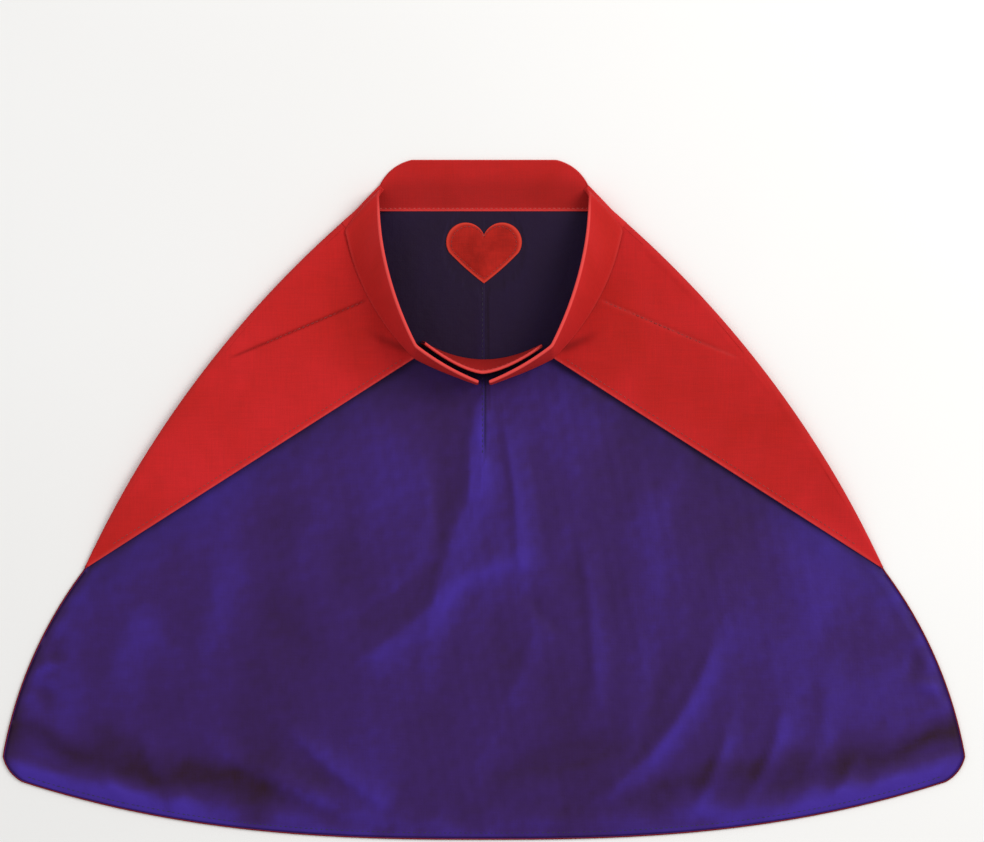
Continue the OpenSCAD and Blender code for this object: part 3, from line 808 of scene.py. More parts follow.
def liningShade(flat):
    # painted shade: the neck, shut in by the collar, is painted dark, and a thin painted shadow lies along
    # the folded fronts and the pleat
    x, y = flat[..., 0], flat[..., 1]
    closure = endPoint[1] + (neckPoint[1] - endPoint[1]) * np.minimum(np.abs(x) / neckPoint[0], 1.6)
    widening = (collarCorner[0] - neckPoint[0]) / shotLook["neckLength"]
    openingHalf = neckPoint[0] + (y - neckPoint[1]) * widening
    inNeck = smooth((y - closure + 4) / 8) * smooth((openingHalf + 14 - np.abs(x)) / 14)
    reach = frontReach(x, y)
    nearEdge = shotLook["edgeShadow"] * smooth(1 + reach / 5) + 0.22 * smooth(1 + reach / 30)
    nearEdge = nearEdge * (1 - smooth(reach / 12))
    pleatShadow = 0.65 * np.exp(-((x - pleat["lineX"] - 0.7) / 0.9) ** 2)
    pleatShadow = pleatShadow * smooth((y - (neckY - pleat["length"] - 6)) / 14)
    return np.clip(np.maximum(shotLook["neckShadow"] * inNeck, np.maximum(nearEdge, pleatShadow)), 0, 0.95)


# ---- stitches ----

def threadRow(name, line, normals, material, settings):
    # short round stitches laid along a line, each a little arched, with its ends drawn into the cloth
    line, normals = np.asarray(line, float), np.asarray(normals, float)
    length = lengthOf(line)
    count = max(int(length / settings["pitch"]), 1)
    points, faces = [], []
    rings, sides = 5, 6
    draw = np.random.RandomState(settings.get("seed", 5))
    for number in range(count):
        middle = (number + 0.5) / count
        reach = settings["length"] / length / 2
        ends = resample(line, [middle - reach, middle + reach])
        up = resample(normals, [middle])[0]
        up = up / np.linalg.norm(up)
        way = ends[1] - ends[0]
        way = way / np.linalg.norm(way)
        aside = np.cross(way, up)
        lean = draw.uniform(-0.06, 0.06)
        start = len(points)
        for ring in range(rings):
            share = ring / (rings - 1)
            arch = math.sin(math.pi * share)
            radius = settings["radius"] * (0.45 + 0.55 * arch)
            centre = (ends[0] * (1 - share) + ends[1] * share + aside * lean * (share - 0.5) * 4
                      + up * (settings["radius"] * (1.25 * arch - 0.75)))
            for side in range(sides):
                angle = 2 * math.pi * side / sides
                points.append(centre + radius * (aside * math.cos(angle) + up * math.sin(angle)))
        for ring in range(rings - 1):
            for side in range(sides):
                a = start + ring * sides + side
                b = start + ring * sides + (side + 1) % sides
                faces.append([a, b, b + sides, a + sides])
        faces.append([start + side for side in reversed(range(sides))])
        faces.append([start + (rings - 1) * sides + side for side in range(sides)])
    row = meshObject(name, points, faces, material)
    row.data.shade_smooth()
    work = bmesh.new()
    work.from_mesh(row.data)
    bmesh.ops.recalc_face_normals(work, faces=work.faces)
    work.to_mesh(row.data)
    work.free()
    return row


def rowOnSheet(plan, grid, lift):
    line = withHeight(np.asarray(plan, float), heightAt(grid, plan) + lift)
    return line, np.broadcast_to(point(0, 0, 1), line.shape)


stitching = {"pitch": 3.0, "length": 2.3, "radius": 0.24}
liningStitching = {"pitch": 3.2, "length": 2.3, "radius": 0.2, "seed": 11}
heartStitching = {"pitch": 2.6, "length": 1.9, "radius": 0.22}


# ---- heart ----

heartLow, heartHigh = boxOf("heart_patch")
heart = {"rings": 26, "steps": 160, "lift": 0.75, "puff": 0.55, "edgeRadius": 0.7, "rowIn": 1.9,
         "span": 14, "rowDip": 0.35}      # span is the usual distance from its centre to its edge


def heartOutline():
    width = heartHigh[0] - heartLow[0]
    radius = width / 4 + 0.4
    lobe = point(width / 2 - radius, heartHigh[1] - radius)
    start = math.pi - math.acos(lobe[0] / radius)
    end = math.radians(-32)
    angles = np.linspace(start, end, 40)
    arc = lobe + radius * np.stack([np.cos(angles), np.sin(angles)], 1)
    side = bowAt(arc[-1], point(0, heartLow[1]), 0.8, np.linspace(0, 1, 20))[1:]
    rightHalf = np.concatenate([arc, side])
    rightHalf[0, 0] = 0
    return np.concatenate([rightHalf, (rightHalf * point(-1, 1))[::-1][1:]])


def makeHeart(liningGrid):
    edge = resample(heartOutline(), np.linspace(0, 1, heart["steps"] + 1))
    centre = point(0, (heartLow[1] + heartHigh[1]) / 2 + 1.5)
    ground = np.median(heightAt(liningGrid, [centre, centre + 8, centre - 8]))
    rings = np.linspace(0, 1, heart["rings"] + 1)
    grid = []
    for ring in rings:
        spots = centre + (edge - centre) * ring
        inside = (1 - ring) * heart["span"]
        height = ground + heart["lift"] + heart["puff"] * smooth(inside / 6)
        height = height - heart["rowDip"] * math.exp(-((inside - heart["rowIn"]) / 0.5) ** 2)
        wave = 0.10 * softNoise(spots[:, 0], spots[:, 1], 9, 3)
        grid.append(withHeight(spots, height + wave * min(ring * 2, 1)))
    rim = []
    for angle in (35, 70, 90):
        turn = math.radians(angle)
        spots = centre + (edge - centre) * (1 + 0.028 * math.sin(turn))
        rim.append(withHeight(spots, ground + heart["lift"] - heart["edgeRadius"] * (1 - math.cos(turn))))
    grid = np.array(grid + rim)
    # painted highlight along the heart's turned edge
    share = np.concatenate([rings, [1.02, 1.04, 1.06]])[:, None]
    mark = np.exp(-((share - 1.0) / 0.05) ** 2)
    patchPiece = addPiece("heartPatch", [grid], heartCotton, thickness=0.4, up=True,
                          marks={"rim": [mark], "shade": [0.0]})
    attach(patchPiece, "back")
    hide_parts("heart_patch", "heart_web")
    row = centre + (edge - centre) * (1 - heart["rowIn"] / 16)
    line, normals = rowOnSheet(row, grid, 0.15)
    thread = threadRow("heartStitches", line, normals, redThread, heartStitching)
    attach(thread, "back")
    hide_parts("heart_stitches")
    return patchPiece, thread


# ---- fronts ----

front = {
    "columns": 220, "rows": 96,
    "endShare": 0.993,            # the layers end just inside the back's outline at the tip
    "edgeDrop": 0.62,
    "edgeSink": 2.9,              # how far the free edge settles below the fold
    "slimming": 0.6,              # how much thinner the turned edge gets towards the tip
    "dartSlope": -23, "dartDepth": 0.8,
    "dartBeyond": 24,             # the pinched line fades out over the shoulder, past its stitches
    "blendStart": 1.0, "blendEnd": 13.0,
    # painted on the shell fronts: shade and a highlight along each dart's line, and a light painted shade
    # over the whole right front
    "edgeRowIn": 3.6, "dartShade": {"left": 0.6, "right": 0.1}, "dartHighlight": {"left": 0.0, "right": 0.45},
    "shadow": {"left": 0.0, "right": 0.09},
}
neckCreases = [
    # start and end of each short crease beside the neck point, its width and height
    ((46, 92), (70, 103), 2.6, -0.7),
    ((48, 88), (84, 84), 3.2, 0.5),
    ((62, 96), (92, 110), 3.5, 0.45),
]


def alongCollar(share, start, turn, sideBow, frontBow):
    # a line in plan beside the neck from start to turn, and on in front to the closure
    share = np.asarray(share, float)
    side = outline["sideShare"]
    beside = bowAt(start, turn, sideBow, np.clip(share / side, 0, 1))
    inFront = bowAt(turn, endPoint, frontBow, np.clip((share - side) / (1 - side), 0, 1))
    return np.where((share <= side)[..., None], beside, inFront)


def seamXy(share):
    return alongCollar(share, seamStart, neckPoint, 9, 1.5)


def topXy(share):
    return alongCollar(share, topStart, topEnd, 7, 2)


dartRoot = seamXy(outline["sideShare"] / 2) + point(5, -1)
dartWay = point(math.cos(math.radians(front["dartSlope"])), math.sin(math.radians(front["dartSlope"])))
dartLength = ((dartRoot - foldTop) @ foldIn - 4) / -(dartWay @ foldIn)


def tipSlimming(u):
    return 1 - front["slimming"] * smooth((u - 0.88) / 0.12)


def frontSurface(layer):
    # one layer of the front in the right half: its plan, height, roll at the shoulder and free edge
    shares = np.linspace(0, front["endShare"], front["columns"] + 1)
    u = np.linspace(0, 1, front["columns"] + 1)
    v = np.linspace(0, 1, front["rows"] + 1)
    shoulder = resample(shoulderPath, shares)
    normals = leftNormals(shoulder)
    nearness = smooth((1 - shares) * shoulderLength / backPanel["tipFade"])
    rolls = layer["tipRadius"] + (layer["foldRadius"] - layer["tipRadius"]) * nearness
    path = shoulder - normals * layer["frontInset"]
    free = neckPoint + (tip - neckPoint) * (u * front["endShare"])[:, None]
    bottom = free + intoFront * (layer["freeEdgeRadius"] * tipSlimming(u)[:, None] + layer["frontEdgeIn"])
    top = path - normals * rolls[:, None]
    seam = seamXy(np.linspace(0, outline["sideShare"], 40))
    left = resample(np.concatenate([[top[0]], seam[2:-1], [bottom[0]]]), v)
    right = top[-1] * (1 - v[:, None]) + bottom[-1] * v[:, None]
    plan = patch(top, bottom, left, right, u, v)
    topHeight = layer["base"] + 2 * rolls
    neckHeight = frontZ - layer["frontBelow"]
    edgeHeight = neckHeight - front["edgeSink"] * smooth(u / 0.22)
    edgeHeight = edgeHeight + (layer["tipHeight"] - edgeHeight) * smooth((u - 0.72) / 0.28)
    settle = smooth(v[:, None] * 1.15)
    height = topHeight[None] * (1 - settle) + edgeHeight[None] * settle
    height = height + (neckHeight - height) * smooth(1 - u[None] * 9)
    roll = rollRows(path, normals, layer["base"], rolls, rolls, 180, steps=10, startTurn=68)
    return plan, height, roll, free, u, v


def fromDart(plan):
    # distance along the dart's line and beside it
    offset = plan - dartRoot
    return offset @ dartWay, offset @ point(-dartWay[1], dartWay[0])


def frontRipple(plan, u, v, side):
    # soft unevenness, the dart's pinched line and creases that run in from the neck point
    x, y = plan[..., 0], plan[..., 1]
    loose = smooth(u[None] / 0.1) * smooth((1 - u[None]) / 0.12) * smooth(v[:, None] / 0.1)
    ripple = 0.35 * softNoise(x, y, 50, 40 + side) + 0.14 * softNoise(x, y, 20, 50 + side)
    ripple = (ripple + 0.05 * softNoise(x, y, 8, 60 + side)) * loose
    along, aside = fromDart(plan)
    onDart = smooth((along + 4) / 6) * smooth((dartLength + front["dartBeyond"] - along) / 25)
    groove = -front["dartDepth"] * np.exp(-(aside / 1.1) ** 2)
    step = 0.45 * np.where(aside > 0, np.exp(-(aside / 7) ** 2), np.exp(-(aside / 14) ** 2) * -0.4)
    ripple = ripple + onDart * (groove + step * (0.6 + 0.4 * smooth(along / 30)))
    for start, end, width, height in neckCreases:
        start, end = point(*start), point(*end)
        way = (end - start) / np.linalg.norm(end - start)
        run = (plan - start) @ way
        off = (plan - start) @ point(-way[1], way[0])
        reach = smooth(run / 5) * smooth((np.linalg.norm(end - start) - run) / 10)
        ripple = ripple + height * reach * np.exp(-(off / width) ** 2)
    return ripple


def dartLine(plan):
    along, aside = fromDart(plan)
    return (np.exp(-(aside / 0.75) ** 2) * smooth((along + 3) / 5)
            * smooth((dartLength + front["dartBeyond"] - along) / 12))


def makeFront(sideName):
    side = -1 if sideName == "left" else 1
    made = {}
    for name, layer in (("shell", shellLayer), ("lining", liningLayer)):
        isShell = name == "shell"
        plan, height, roll, free, u, v = frontSurface(layer)
        panel = withHeight(plan, height + frontRipple(plan, u, v, side) * smooth((1 - v[:, None]) / 0.02))
        grids = [panel, roll]
        # the front linings: an even mid tone with a light painted shade
        marks = {"tilt": [0.45, 0.45], "shade": [0.1, 0.1]}
        if isShell:
            slim = tipSlimming(u)
            edge = rollRows(free, np.broadcast_to(-intoFront, free.shape), panel[-1, :, 2],
                            layer["freeEdgeRadius"] * slim, -front["edgeDrop"] * slim, 200, steps=8)
            grids.append(edge)
            row = np.linspace(0, 1, edge.shape[0])[:, None]
            # painted highlight along the free edge
            nearEdge = np.exp(-((1 - v[:, None]) * 110 * (1 - u[None]) / 0.9) ** 2) * 0.4
            dart = dartLine(plan)
            # painted shade along a short crease beside the neck point
            crease = np.exp(-((plan - neckPoint - point(4, 4)) @ point(-0.39, 0.92) / 2.6) ** 2)
            crease = crease * smooth((plan[..., 0] - 44) / 6) * smooth((76 - plan[..., 0]) / 22)
            shadow = front["shadow"][sideName]
            # painted highlight along the free edge, beside the dart and round the edge's roll; painted shade
            # along the dart, the crease and over the right front
            marks = {"rim": [np.maximum(nearEdge, dart * front["dartHighlight"][sideName]), 0.05,
                             0.8 * np.exp(-(row / 0.4) ** 2)],
                     "shade": [shadow + dart * front["dartShade"][sideName] + 0.5 * crease,
                               shadow + 0.04, shadow]}
        if side < 0:
            grids = [mirrored(grid) for grid in grids]
        piece = addPiece(("frontShell_" if isShell else "frontLining_") + sideName, grids,
                         redCotton if isShell else purpleLining, marks=marks, up=isShell,
                         thickness=layer["thickness"])
        blendAcross(piece)
        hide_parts(("front_shell_" if isShell else "front_lining_") + sideName)
        made[name] = (piece, grids[0])
    shellGrid = made["shell"][1]
    edgeRun = np.linspace(8, lengthOf(np.array([neckPoint, tip])) - 24, 60)[:, None]
    edgeRow = neckPoint + intoFront * front["edgeRowIn"] + freeWay * edgeRun
    dartRow = dartRoot + dartWay * np.linspace(0, dartLength, 24)[:, None]
    made["threads"] = []
    for name, row, node in (("edgeStitches_", edgeRow, "edge_stitches_"),
                            ("dartStitches_", dartRow, "dart_stitches_")):
        line, up = rowOnSheet(row * point(side, 1), shellGrid, 0.02)
        thread = threadRow(name + sideName, line, up, redThread, stitching)
        blendAcross(thread)
        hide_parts(node + sideName)
        made["threads"].append(thread)
    return made


def blendAcross(piece):
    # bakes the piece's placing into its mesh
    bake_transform(piece)


# ---- collar ----

collar = {
    "stations": 150, "rows": 26,
    "thickness": 0.95, "bulge": 0.9,
    "startLift": 0.5,                 # the stand rises to its full height a little way past the corner
    "cornerZ": 4.75, "cornerHighZ": 1.7,        # heights at which the stand grows out of its fold
    "proud": 0.12,
    "overShoulder": 9,                # points of the shoulder's line that the collar's fold runs along
    "rowUp": 0.93,                    # share of the height at which the top row of stitches runs
    "overlap": 1.2, "rounding": (30, 60, 85),   # the rim's reach down the inner face, the turns of a free end
    "innerTop": 0.965, "innerStart": 10,        # the inner layer stops below the rim, and short of the corner
    "layer": 0.5, "backLayer": 0.4, "backBase": 0.12, "backInnerZ": 2.05,
}


def seamHeight(share):
    fall = np.clip((share - outline["sideShare"]) / (1 - outline["sideShare"]), 0, 1)
    return frontZ + (outline["endLift"] - frontZ) * fall


def collarEdges():
    # the collar's foot and top in the right half, from the folded corner to the free end
    share = np.linspace(0, 1, collar["stations"] + 1)
    low = withHeight(seamXy(share), seamHeight(share))
    top = topXy(share)
    lean = np.linalg.norm(top - seamXy(share), axis=1)
    rise = np.sqrt(np.maximum(collarHeight ** 2 - lean ** 2, 4))
    rise = rise * (collar["startLift"] + (1 - collar["startLift"]) * smooth(share / 0.22))
    high = withHeight(top, seamHeight(share) + rise)
    steps = np.linspace(0, 1, 13)[:-1, None]
    foldLow = point(*(foldTop + point(-3.2, -1.6)), collar["cornerZ"])
    foldHigh = point(*(collarCorner + point(-1.6, -1.8)), collar["cornerHighZ"])
    ease = smooth(steps)
    lowStart = foldLow + (low[0] - foldLow) * steps
    highStart = foldHigh + (high[0] - foldHigh) * steps
    lowStart[:, 2] = foldLow[2] + (low[0, 2] - foldLow[2]) * ease[:, 0]
    highStart[:, 2] = foldHigh[2] + (high[0, 2] - foldHigh[2]) * ease[:, 0]
    return np.concatenate([lowStart, low]), np.concatenate([highStart, high])


def smoothLine(line, rounds=3):
    line = line.copy()
    for _ in range(rounds):
        line[1:-1] = line[1:-1] * 0.5 + (line[:-2] + line[2:]) * 0.25
    return line


def bandFrame(low, high):
    way = np.gradient(low, axis=0)
    way = way / np.linalg.norm(way, axis=1, keepdims=True)
    rise = high - low
    height = np.linalg.norm(rise, axis=1, keepdims=True)
    out = np.cross(rise / height, way)
    out = smoothLine(out / np.linalg.norm(out, axis=1, keepdims=True), 4)
    return way, rise / height, out / np.linalg.norm(out, axis=1, keepdims=True), height


def bandGrid(low, high, profile, middle, bulge, endRound, endRadius):
    # profile rows are (share of the height, depth outwards, extra height); the free end is rounded shut
    way, up, out, height = bandFrame(low, high)
    run = np.concatenate([[0], np.cumsum(np.linalg.norm(np.diff(low, axis=0), axis=1))])
    rows, places = [], []
    for share, depth, extra in profile:
        soft = bulge * math.sin(math.pi * min(max(share, 0), 1)) * (0.7 + 0.3 * np.sin(run / 19))
        row = low + (high - low) * share + out * (depth + soft)[:, None] + up * extra
        ends = []
        for angle in endRound:
            turn = math.radians(angle)
            shift = (middle - depth) * (1 - math.cos(turn))
            ends.append(row[-1] + out[-1] * shift + way[-1] * endRadius * math.sin(turn))
        if ends:
            row = np.concatenate([row, ends])
        rows.append(row)
        reach = np.concatenate([run, run[-1] + np.arange(1, len(endRound) + 1)])
        places.append(np.stack([reach, np.full(len(reach), share * height.mean() + extra)], 1))
    return np.array(rows), np.array(places)


def rimProfile(rows, thickness, overlap):
    # up the outer face, over the top edge and a little way down the inner face
    radius = thickness / 2
    profile = [(share, thickness, 0.0) for share in np.linspace(0, 1, rows)]
    profile[-1] = (1.0, thickness, -radius)
    for angle in np.linspace(20, 180, 9):
        turn = math.radians(angle)
        profile.append((1.0, radius + radius * math.cos(turn), -radius + radius * math.sin(turn)))
    profile.append((1.0, 0.0, -radius - overlap))
    return profile


def makeCollarSide(sideName):
    side = -1 if sideName == "left" else 1
    low, high = [smoothLine(line, 2) for line in collarEdges()]
    middle = collar["thickness"] / 2
    profile = rimProfile(collar["rows"], collar["thickness"], collar["overlap"])
    outerGrid, outerPlace = bandGrid(low, high, profile, middle, collar["bulge"], collar["rounding"], middle)
    rows = np.arange(len(profile))[:, None]
    stations = outerGrid.shape[1]
    # the painted highlight at the rim fades out towards the folded corner, and a fainter one runs along the
    # foot
    rim = np.where(rows >= collar["rows"] - 1, 1.0, 0.0) * smooth((np.arange(stations) - 4) / 22)
    rim = np.maximum(rim, 0.3 * np.exp(-(rows / 1.2) ** 2))
    # painted shade on the rim's rows that run down the inner face
    shadeInside = np.where(rows >= collar["rows"] + 8, 0.4, 0.0) * np.ones((1, stations))
    innerProfile = [(share, 0.0, 0.0) for share in np.linspace(0, collar["innerTop"], collar["rows"])]
    first = collar["innerStart"]
    innerGrid, innerPlace = bandGrid(low[first:], high[first:], innerProfile, middle, collar["bulge"],
                                     collar["rounding"], middle)
    if side < 0:
        outerGrid, innerGrid = mirrored(outerGrid), mirrored(innerGrid)
    # the inner layer is painted in shade all over
    outer = addPiece("collarOuter_" + sideName, [outerGrid], collarCotton, place=[outerPlace],
                     thickness=collar["layer"], flip=side < 0, marks={"rim": [rim], "shade": [shadeInside]})
    inner = addPiece("collarInner_" + sideName, [innerGrid], collarCotton, place=[innerPlace],
                     thickness=-collar["layer"], flip=side < 0, marks={"rim": [0.0], "shade": [0.45]})
    for piece, nodes in ((outer, ("collar_outer_", "collar_interfacing_")), (inner, ("collar_inner_",))):
        blendAcross(piece)
        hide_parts(*[node + sideName for node in nodes])
    out = bandFrame(low, high)[2]
    row = low + (high - low) * collar["rowUp"] + out * (collar["thickness"] + 0.25)
    row, out = row[8:-2], out[8:-2]
    if side < 0:
        row, out = mirrored(row), mirrored(out)
    thread = threadRow("collarStitches_" + sideName, row, out, brightThread, stitching)
    blendAcross(thread)
    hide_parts("collar_stitches_" + sideName)


def backCollarPlan(topLine, normals, inset, footHalf, footY, v):
    # fills the back collar in plan, from just inside its top line down to its foot
    shares = np.linspace(0, 1, len(topLine))
    top = topLine - normals * inset
    bottom = np.stack([(shares * 2 - 1) * footHalf, np.full(len(topLine), footY)], 1)
    right = top[-1] * (1 - v[:, None]) + bottom[-1] * v[:, None]
    return patch(top, bottom, right * point(-1, 1), right, shares, v), bottom


def makeBackCollar():
    bend = bowAt(collarTop, collarCorner, 4, np.linspace(0, 1, 30))
    rightTop = np.concatenate([np.linspace(point(0, collarTopY), collarTop, 40), bend[1:]])
    rightLine = resample(rightTop, np.linspace(0, 1, 121))
    topLine = np.concatenate([(rightLine * point(-1, 1))[::-1][:-1], rightLine])
    normals = leftNormals(topLine)
    radius = collar["thickness"] / 2
    base = collar["backBase"]
    footHalf = foldTop[0] - 2
    v = np.linspace(0, 1, 30)
    # outer layer below: flat, then round the top edge onto the inner side
    plan, bottom = backCollarPlan(topLine, normals, radius, footHalf, foldTop[1] - 1, v)
    roll = rollRows(topLine, normals, base, radius, radius * 1.05, 180, steps=10)
    over = withHeight(topLine - normals * (radius + 1.4), base + 2.1 * radius)[None]
    roll = np.concatenate([roll, over])
    # painted highlight over the outer layer's rolled top edge and painted shade on its flat part
    share = np.linspace(0, 1, roll.shape[0])[:, None]
    outer = addPiece("collarBackOuter", [withHeight(plan, base), roll], collarCotton,
                     thickness=collar["backLayer"], up=False,
                     marks={"rim": [0.0, 0.4 * smooth((share - 0.3) / 0.4)], "shade": [0.3, 0.05]})
    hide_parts("collar_back_outer", "collar_back_interfacing")
    # inner layer above, dished between its rolled top and the lip over the neck seam
    plan, bottom = backCollarPlan(topLine, normals, radius + 0.3, footHalf - 0.5, neckY + 0.4, v)
    down = v[:, None] * np.ones((1, len(topLine)))
    dish = np.sin(math.pi * v)[:, None] ** 0.8
    height = (collar["backInnerZ"] - 0.35 * dish + 0.25 * softNoise(plan[..., 0], plan[..., 1], 26, 71) * dish
              + 0.4 * smooth((down - 0.9) / 0.1))
    flat = withHeight(plan, height)
    lipPath = bottom + point(0, -0.6)
    lip = rollRows(lipPath, np.broadcast_to(point(0, -1), lipPath.shape), flat[-1, :, 2], 0.6, -0.55, 190)
    lipShare = np.linspace(0, 1, lip.shape[0])[:, None]
    # painted shade, darker down towards the neck seam and gone at its lip; a painted highlight on the lip
    shade = (0.08 + 0.30 * smooth((down - 0.1) / 0.5)) * (1 - smooth((down - 0.93) / 0.05))
    inner = addPiece("collarBackInner", [flat, lip], collarCotton, thickness=collar["backLayer"], up=True,
                     marks={"rim": [0.45 * smooth((down - 0.97) / 0.02), 0.6 * (1 - lipShare)],
                            "shade": [shade, 0.0]})
    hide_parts("collar_back_inner")
    rowX = np.linspace(8 - outline["neckHalf"], outline["neckHalf"] - 8, 80)
    line, up = rowOnSheet(np.stack([rowX, np.full(80, neckY + 1.6)], 1), flat, 0.05)
    thread = threadRow("neckStitches", line, up, brightThread, stitching)
    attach(thread, "back")
    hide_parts("neck_stitches")
    turns = [makeCollarTurn("left"), makeCollarTurn("right")]
    for piece in (outer, inner, *turns):
        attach(piece, "back")


def makeCollarTurn(sideName):
    # the collar's turn at a back corner, on over the first stretch of the shoulder
    side = -1 if sideName == "left" else 1
    stations = 36
    line = np.concatenate([[collarCorner], shoulderPath[:collar["overShoulder"]]])
    line = resample(line, np.linspace(0, 1, stations))
    line = smoothLine(line, 6) + leftNormals(line) * collar["proud"]
    normals = leftNormals(line)
    grows = 0.3 + 0.7 * smooth(np.linspace(0, 2.2, stations))
    radius = shellLayer["foldRadius"] * grows + collar["proud"]
    turn = rollRows(line, normals, collar["backBase"], radius, radius, 180, steps=14)
    inwards = normals * (radius[:, None] + 0.8)
    under = withHeight(line - inwards, collar["backBase"])[None]
    over = withHeight(line - inwards - normals * 2.2, collar["backBase"] + 2 * radius)[None]
    turn = np.concatenate([under, turn, over])
    # a faint painted highlight over the whole turn
    piece = addPiece("collarFold_" + sideName, [turn if side > 0 else mirrored(turn)], collarCotton,
                     thickness=collar["backLayer"], flip=side > 0, marks={"rim": [0.1], "shade": [0.0]})
    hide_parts("collar_fold_" + sideName)
    return piece


# ---- closure ----

tab = {
    "footBow": -14, "topDip": 17, "dipPower": 1.55, "height": 27, "thickness": 1.0,
    "stations": 90, "rows": 22, "layer": 0.4, "overlap": 1.0, "rounding": (30, 60, 85),
    "lift": outline["endLift"] + 0.6, "tipRound": 0.12,
    "hingeZ": 17,                # height of the line that the tab bends about at its sewn root
}
hooks = {"shares": (0.62, 0.93), "heights": (0.2, 0.8), "pitch": 1.6, "peg": 0.55, "bend": 0.3,
         "width": 0.22}
loops = {"shares": (0.73, 0.93), "heights": (0.25, 0.85), "pitch": 1.3, "peg": 0.4, "bend": -0.3,
         "width": 0.3}
tapeStandOff = 0.45
tabRoot = point(3 - outline["neckPointX"], neckPoint[1] + 9.5)
tabTip = point(outline["neckPointX"] - 6, neckPoint[1] + 7.5)


def tabEdges(stations):
    share = np.linspace(0, 1, stations + 1)
    foot = bowAt(tabRoot, tabTip, tab["footBow"], share)
    # pressed into the V of the two collar ends, so its top edge dips in the middle
    topStartAt, topEndAt = tabRoot + point(3, -1.5), tabTip + point(-1, -1.5)
    dip = tab["topDip"] * (1 - np.abs(2 * share - 1) ** tab["dipPower"])
    top = bowAt(topStartAt, topEndAt, 0, share) - leftOf(topStartAt, topEndAt) * dip[:, None]
    lean = np.linalg.norm(top - foot, axis=1)
    rise = np.sqrt(np.maximum(tab["height"] ** 2 - lean ** 2, 4))
    low, high = withHeight(foot, tab["lift"]), withHeight(top, tab["lift"] + rise)
    # the tip's two corners are rounded off
    rounding = np.clip((share - (1 - tab["tipRound"])) / tab["tipRound"], 0, 1)
    pull = 0.30 * (1 - np.sqrt(1 - rounding ** 2 * 0.98))[:, None]
    return low + (high - low) * pull, high - (high - low) * pull


def makeTab():
    low, high = tabEdges(tab["stations"])
    half = tab["thickness"] / 2
    # depth runs from the inner face, towards the neck, to the outer face, towards the collar ends
    profile = [(share, depth - half, extra)
               for share, depth, extra in rimProfile(tab["rows"], tab["thickness"], tab["overlap"])]
    innerGrid, innerPlace = bandGrid(low, high, profile, 0.0, 0.0, tab["rounding"], half)
    # painted highlight on the tab's rolled top edge and painted shade on the rest of both layers
    rows = np.arange(len(profile))[:, None] * np.ones((1, innerGrid.shape[1]))
    inRim = rows >= tab["rows"] - 2
    inner = addPiece("tabInner", [innerGrid], collarCotton, place=[innerPlace], thickness=tab["layer"],
                     marks={"rim": [np.where(inRim, 1.0, 0.0)], "shade": [np.where(inRim, 0.0, 0.25)]})
    outerProfile = [(share, -half, 0.0) for share in np.linspace(0, collar["innerTop"], tab["rows"])]
    outerGrid, outerPlace = bandGrid(low, high, outerProfile, 0.0, 0.0, tab["rounding"], half)
    outer = addPiece("tabOuter", [outerGrid], collarCotton, place=[outerPlace], thickness=-tab["layer"],
                     marks={"rim": [0.0], "shade": [0.2]})
    out = bandFrame(low, high)[2]
    row = low + (high - low) * 0.9 + out * (half + 0.2)
    thread = threadRow("tabStitches", row[2:-4], out[2:-4], brightThread, stitching)
    for piece, node, slot in ((inner, "tab_inner", "collar_cotton"), (outer, "tab_outer", "collar_cotton"),
                              (thread, "tab_stitches", "red_thread")):
        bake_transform(piece)
        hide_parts(node)


def makeTape(name, low, high, depth, settings, material, body, node):
    # a strip of fastening tape with a field of small hooks or loops standing on its inner face
    first, last = [int(share * (len(low) - 1)) for share in settings["shares"]]
    low, high = low[first:last + 1], high[first:last + 1]
    way, up, out, _ = bandFrame(low, high)
    bottom, top = settings["heights"]
    grid = np.array([low + (high - low) * share + out * depth for share in np.linspace(bottom, top, 12)])
    tape = addPiece(name, [grid], material, thickness=0.4, flip=True)
    points, faces = [], []
    count = int(lengthOf(low) / settings["pitch"])
    for number in range(1, count):
        k = int(number / count * (len(low) - 1))
        for share in np.arange(bottom + 0.04, top - 0.03, settings["pitch"] / 30):
            foot = low[k] + (high[k] - low[k]) * share + out[k] * depth
            base = len(points)
            for corner in ((-1, -1), (1, -1), (1, 1), (-1, 1)):
                points.append(foot + (way[k] * corner[0] + up[k] * corner[1]) * settings["width"])
            points.append(foot - out[k] * settings["peg"] + up[k] * settings["bend"])
            faces += [[base + a, base + (a + 1) % 4, base + 4] for a in range(4)]
    for piece in (tape, meshObject(name + "Pegs", points, faces, material)):
        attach(piece, body)
    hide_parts(node)


# ---- build ----

hemRowIn, pleatRowAside = 4.4, 0.9         # distance of each row of stitches from its edge or fold
shellPiece, liningPiece, liningGrid = makeBackPanel()
print("back panel made")
heartPiece, heartThread = makeHeart(liningGrid)

hemRowX = np.linspace(-hemTurnX + 2, hemTurnX - 2, 260)
hemLine = np.stack([hemRowX, hemAt(hemRowX)], 1)
hemLine = hemLine + leftNormals(hemLine) * hemRowIn
pleatRowY = np.linspace(heartLow[1] - 2, neckY - pleat["length"], 60)
pleatLine = np.stack([np.full(60, -pleatRowAside), pleatRowY], 1)
for name, node, row in (("hemStitches", "hem_stitches", hemLine),
                        ("pleatStitches", "pleat_stitches", pleatLine)):
    line, up = rowOnSheet(row, liningGrid, 0.02)
    thread = threadRow(name, line, up, purpleThread, liningStitching)
    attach(thread, "back")
    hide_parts(node)
print("heart, hem and pleat made")

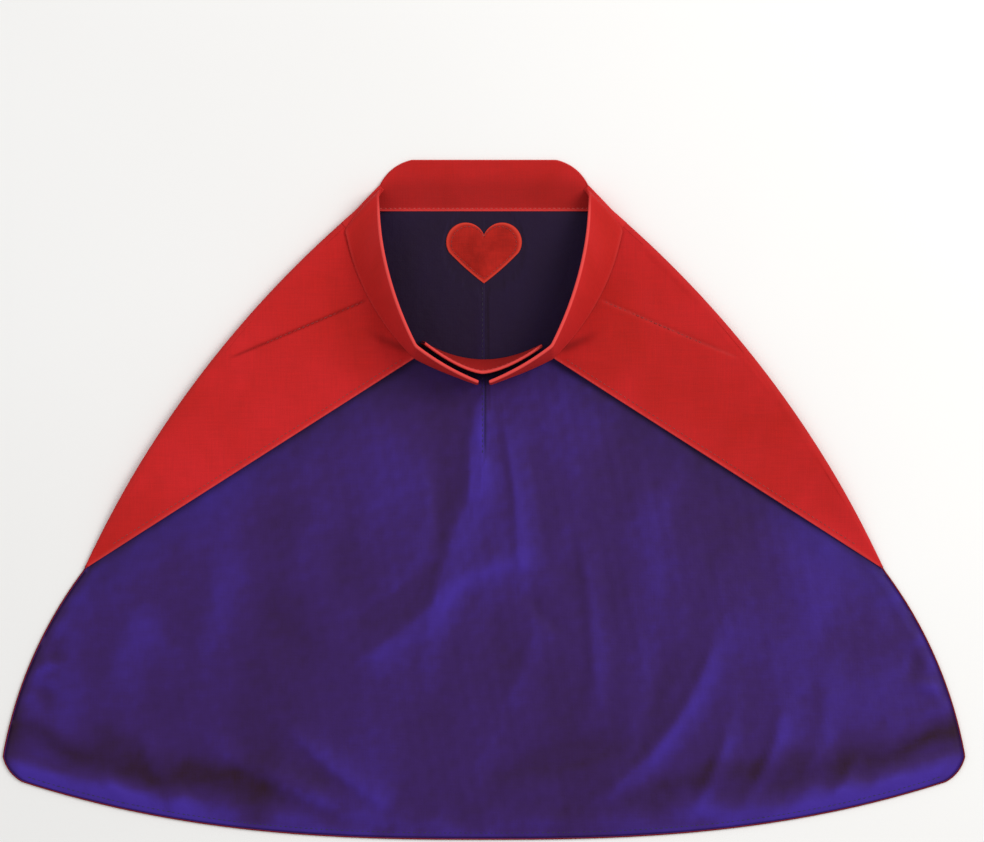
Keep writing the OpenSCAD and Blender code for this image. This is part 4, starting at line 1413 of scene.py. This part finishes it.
fronts = {name: makeFront(name) for name in ("left", "right")}
print("fronts made")
makeBackCollar()
for sideName in ("left", "right"):
    makeCollarSide(sideName)
print("collar made")
makeTab()
makeTape("hookTape", *tabEdges(tab["stations"]), -tab["thickness"] / 2 - tapeStandOff, hooks, hookNylon,
         "closure_tab", "hook_tape")
makeTape("loopTape", *collarEdges(), -tapeStandOff, loops, loopNylon, "right_front", "loop_tape")
print("closure made")
# ---- floor, light and camera ----

studio = {
    "floorReach": 2000, "floorBelow": 0.0002,
    "cameraHeight": 1.6, "frameWidth": 0.6124, "frameCentre": (0.005, 0.049), "sensorWidth": 36.0,
    "worldStrength": 0.55,
}
lights = {
    "key": {"place": (1.05, 0.55, 1.25), "energy": 16.0, "size": 0.9, "colour": (1.0, 0.98, 0.96)},
    "fill": {"place": (-1.1, 0.5, 1.3), "energy": 5.0, "size": 1.2, "colour": (0.96, 0.98, 1.0)},
}


def addLight(name, place, energy, size, colour):
    data = bpy.data.lights.new(name, "AREA")
    data.energy, data.size, data.color = energy, size, colour
    light = bpy.data.objects.new(name, data)
    light.location = place
    light.rotation_euler = (Vector((0, 0, 0)) - Vector(place)).to_track_quat("-Z", "Y").to_euler()
    bpy.context.collection.objects.link(light)


board = floorMaterial({"name": "paintedBoard", "dark": "#f2f1ef", "light": "#f8f8f7"})
floor = levelSquare("floor", studio["floorReach"], material=board)
floor.location.z = -studio["floorBelow"]

world = bpy.data.worlds.new("studio")
bpy.context.scene.world = world
world.use_nodes = True
world.node_tree.nodes["Background"].inputs["Color"].default_value = (1.0, 1.0, 1.0, 1.0)
world.node_tree.nodes["Background"].inputs["Strength"].default_value = studio["worldStrength"]
for name, settings in lights.items():
    addLight(name, **settings)
bpy.context.scene.view_settings.view_transform = "Standard"

cameraData = bpy.data.cameras.new("camera")
camera = bpy.data.objects.new("camera", cameraData)
camera.location = (*studio["frameCentre"], studio["cameraHeight"])
cameraData.sensor_width = studio["sensorWidth"]
cameraData.lens = studio["sensorWidth"] * studio["cameraHeight"] / studio["frameWidth"]
cameraData.clip_start, cameraData.clip_end = 0.05, 20.0
bpy.context.collection.objects.link(camera)
bpy.context.scene.camera = camera
print("studio set")
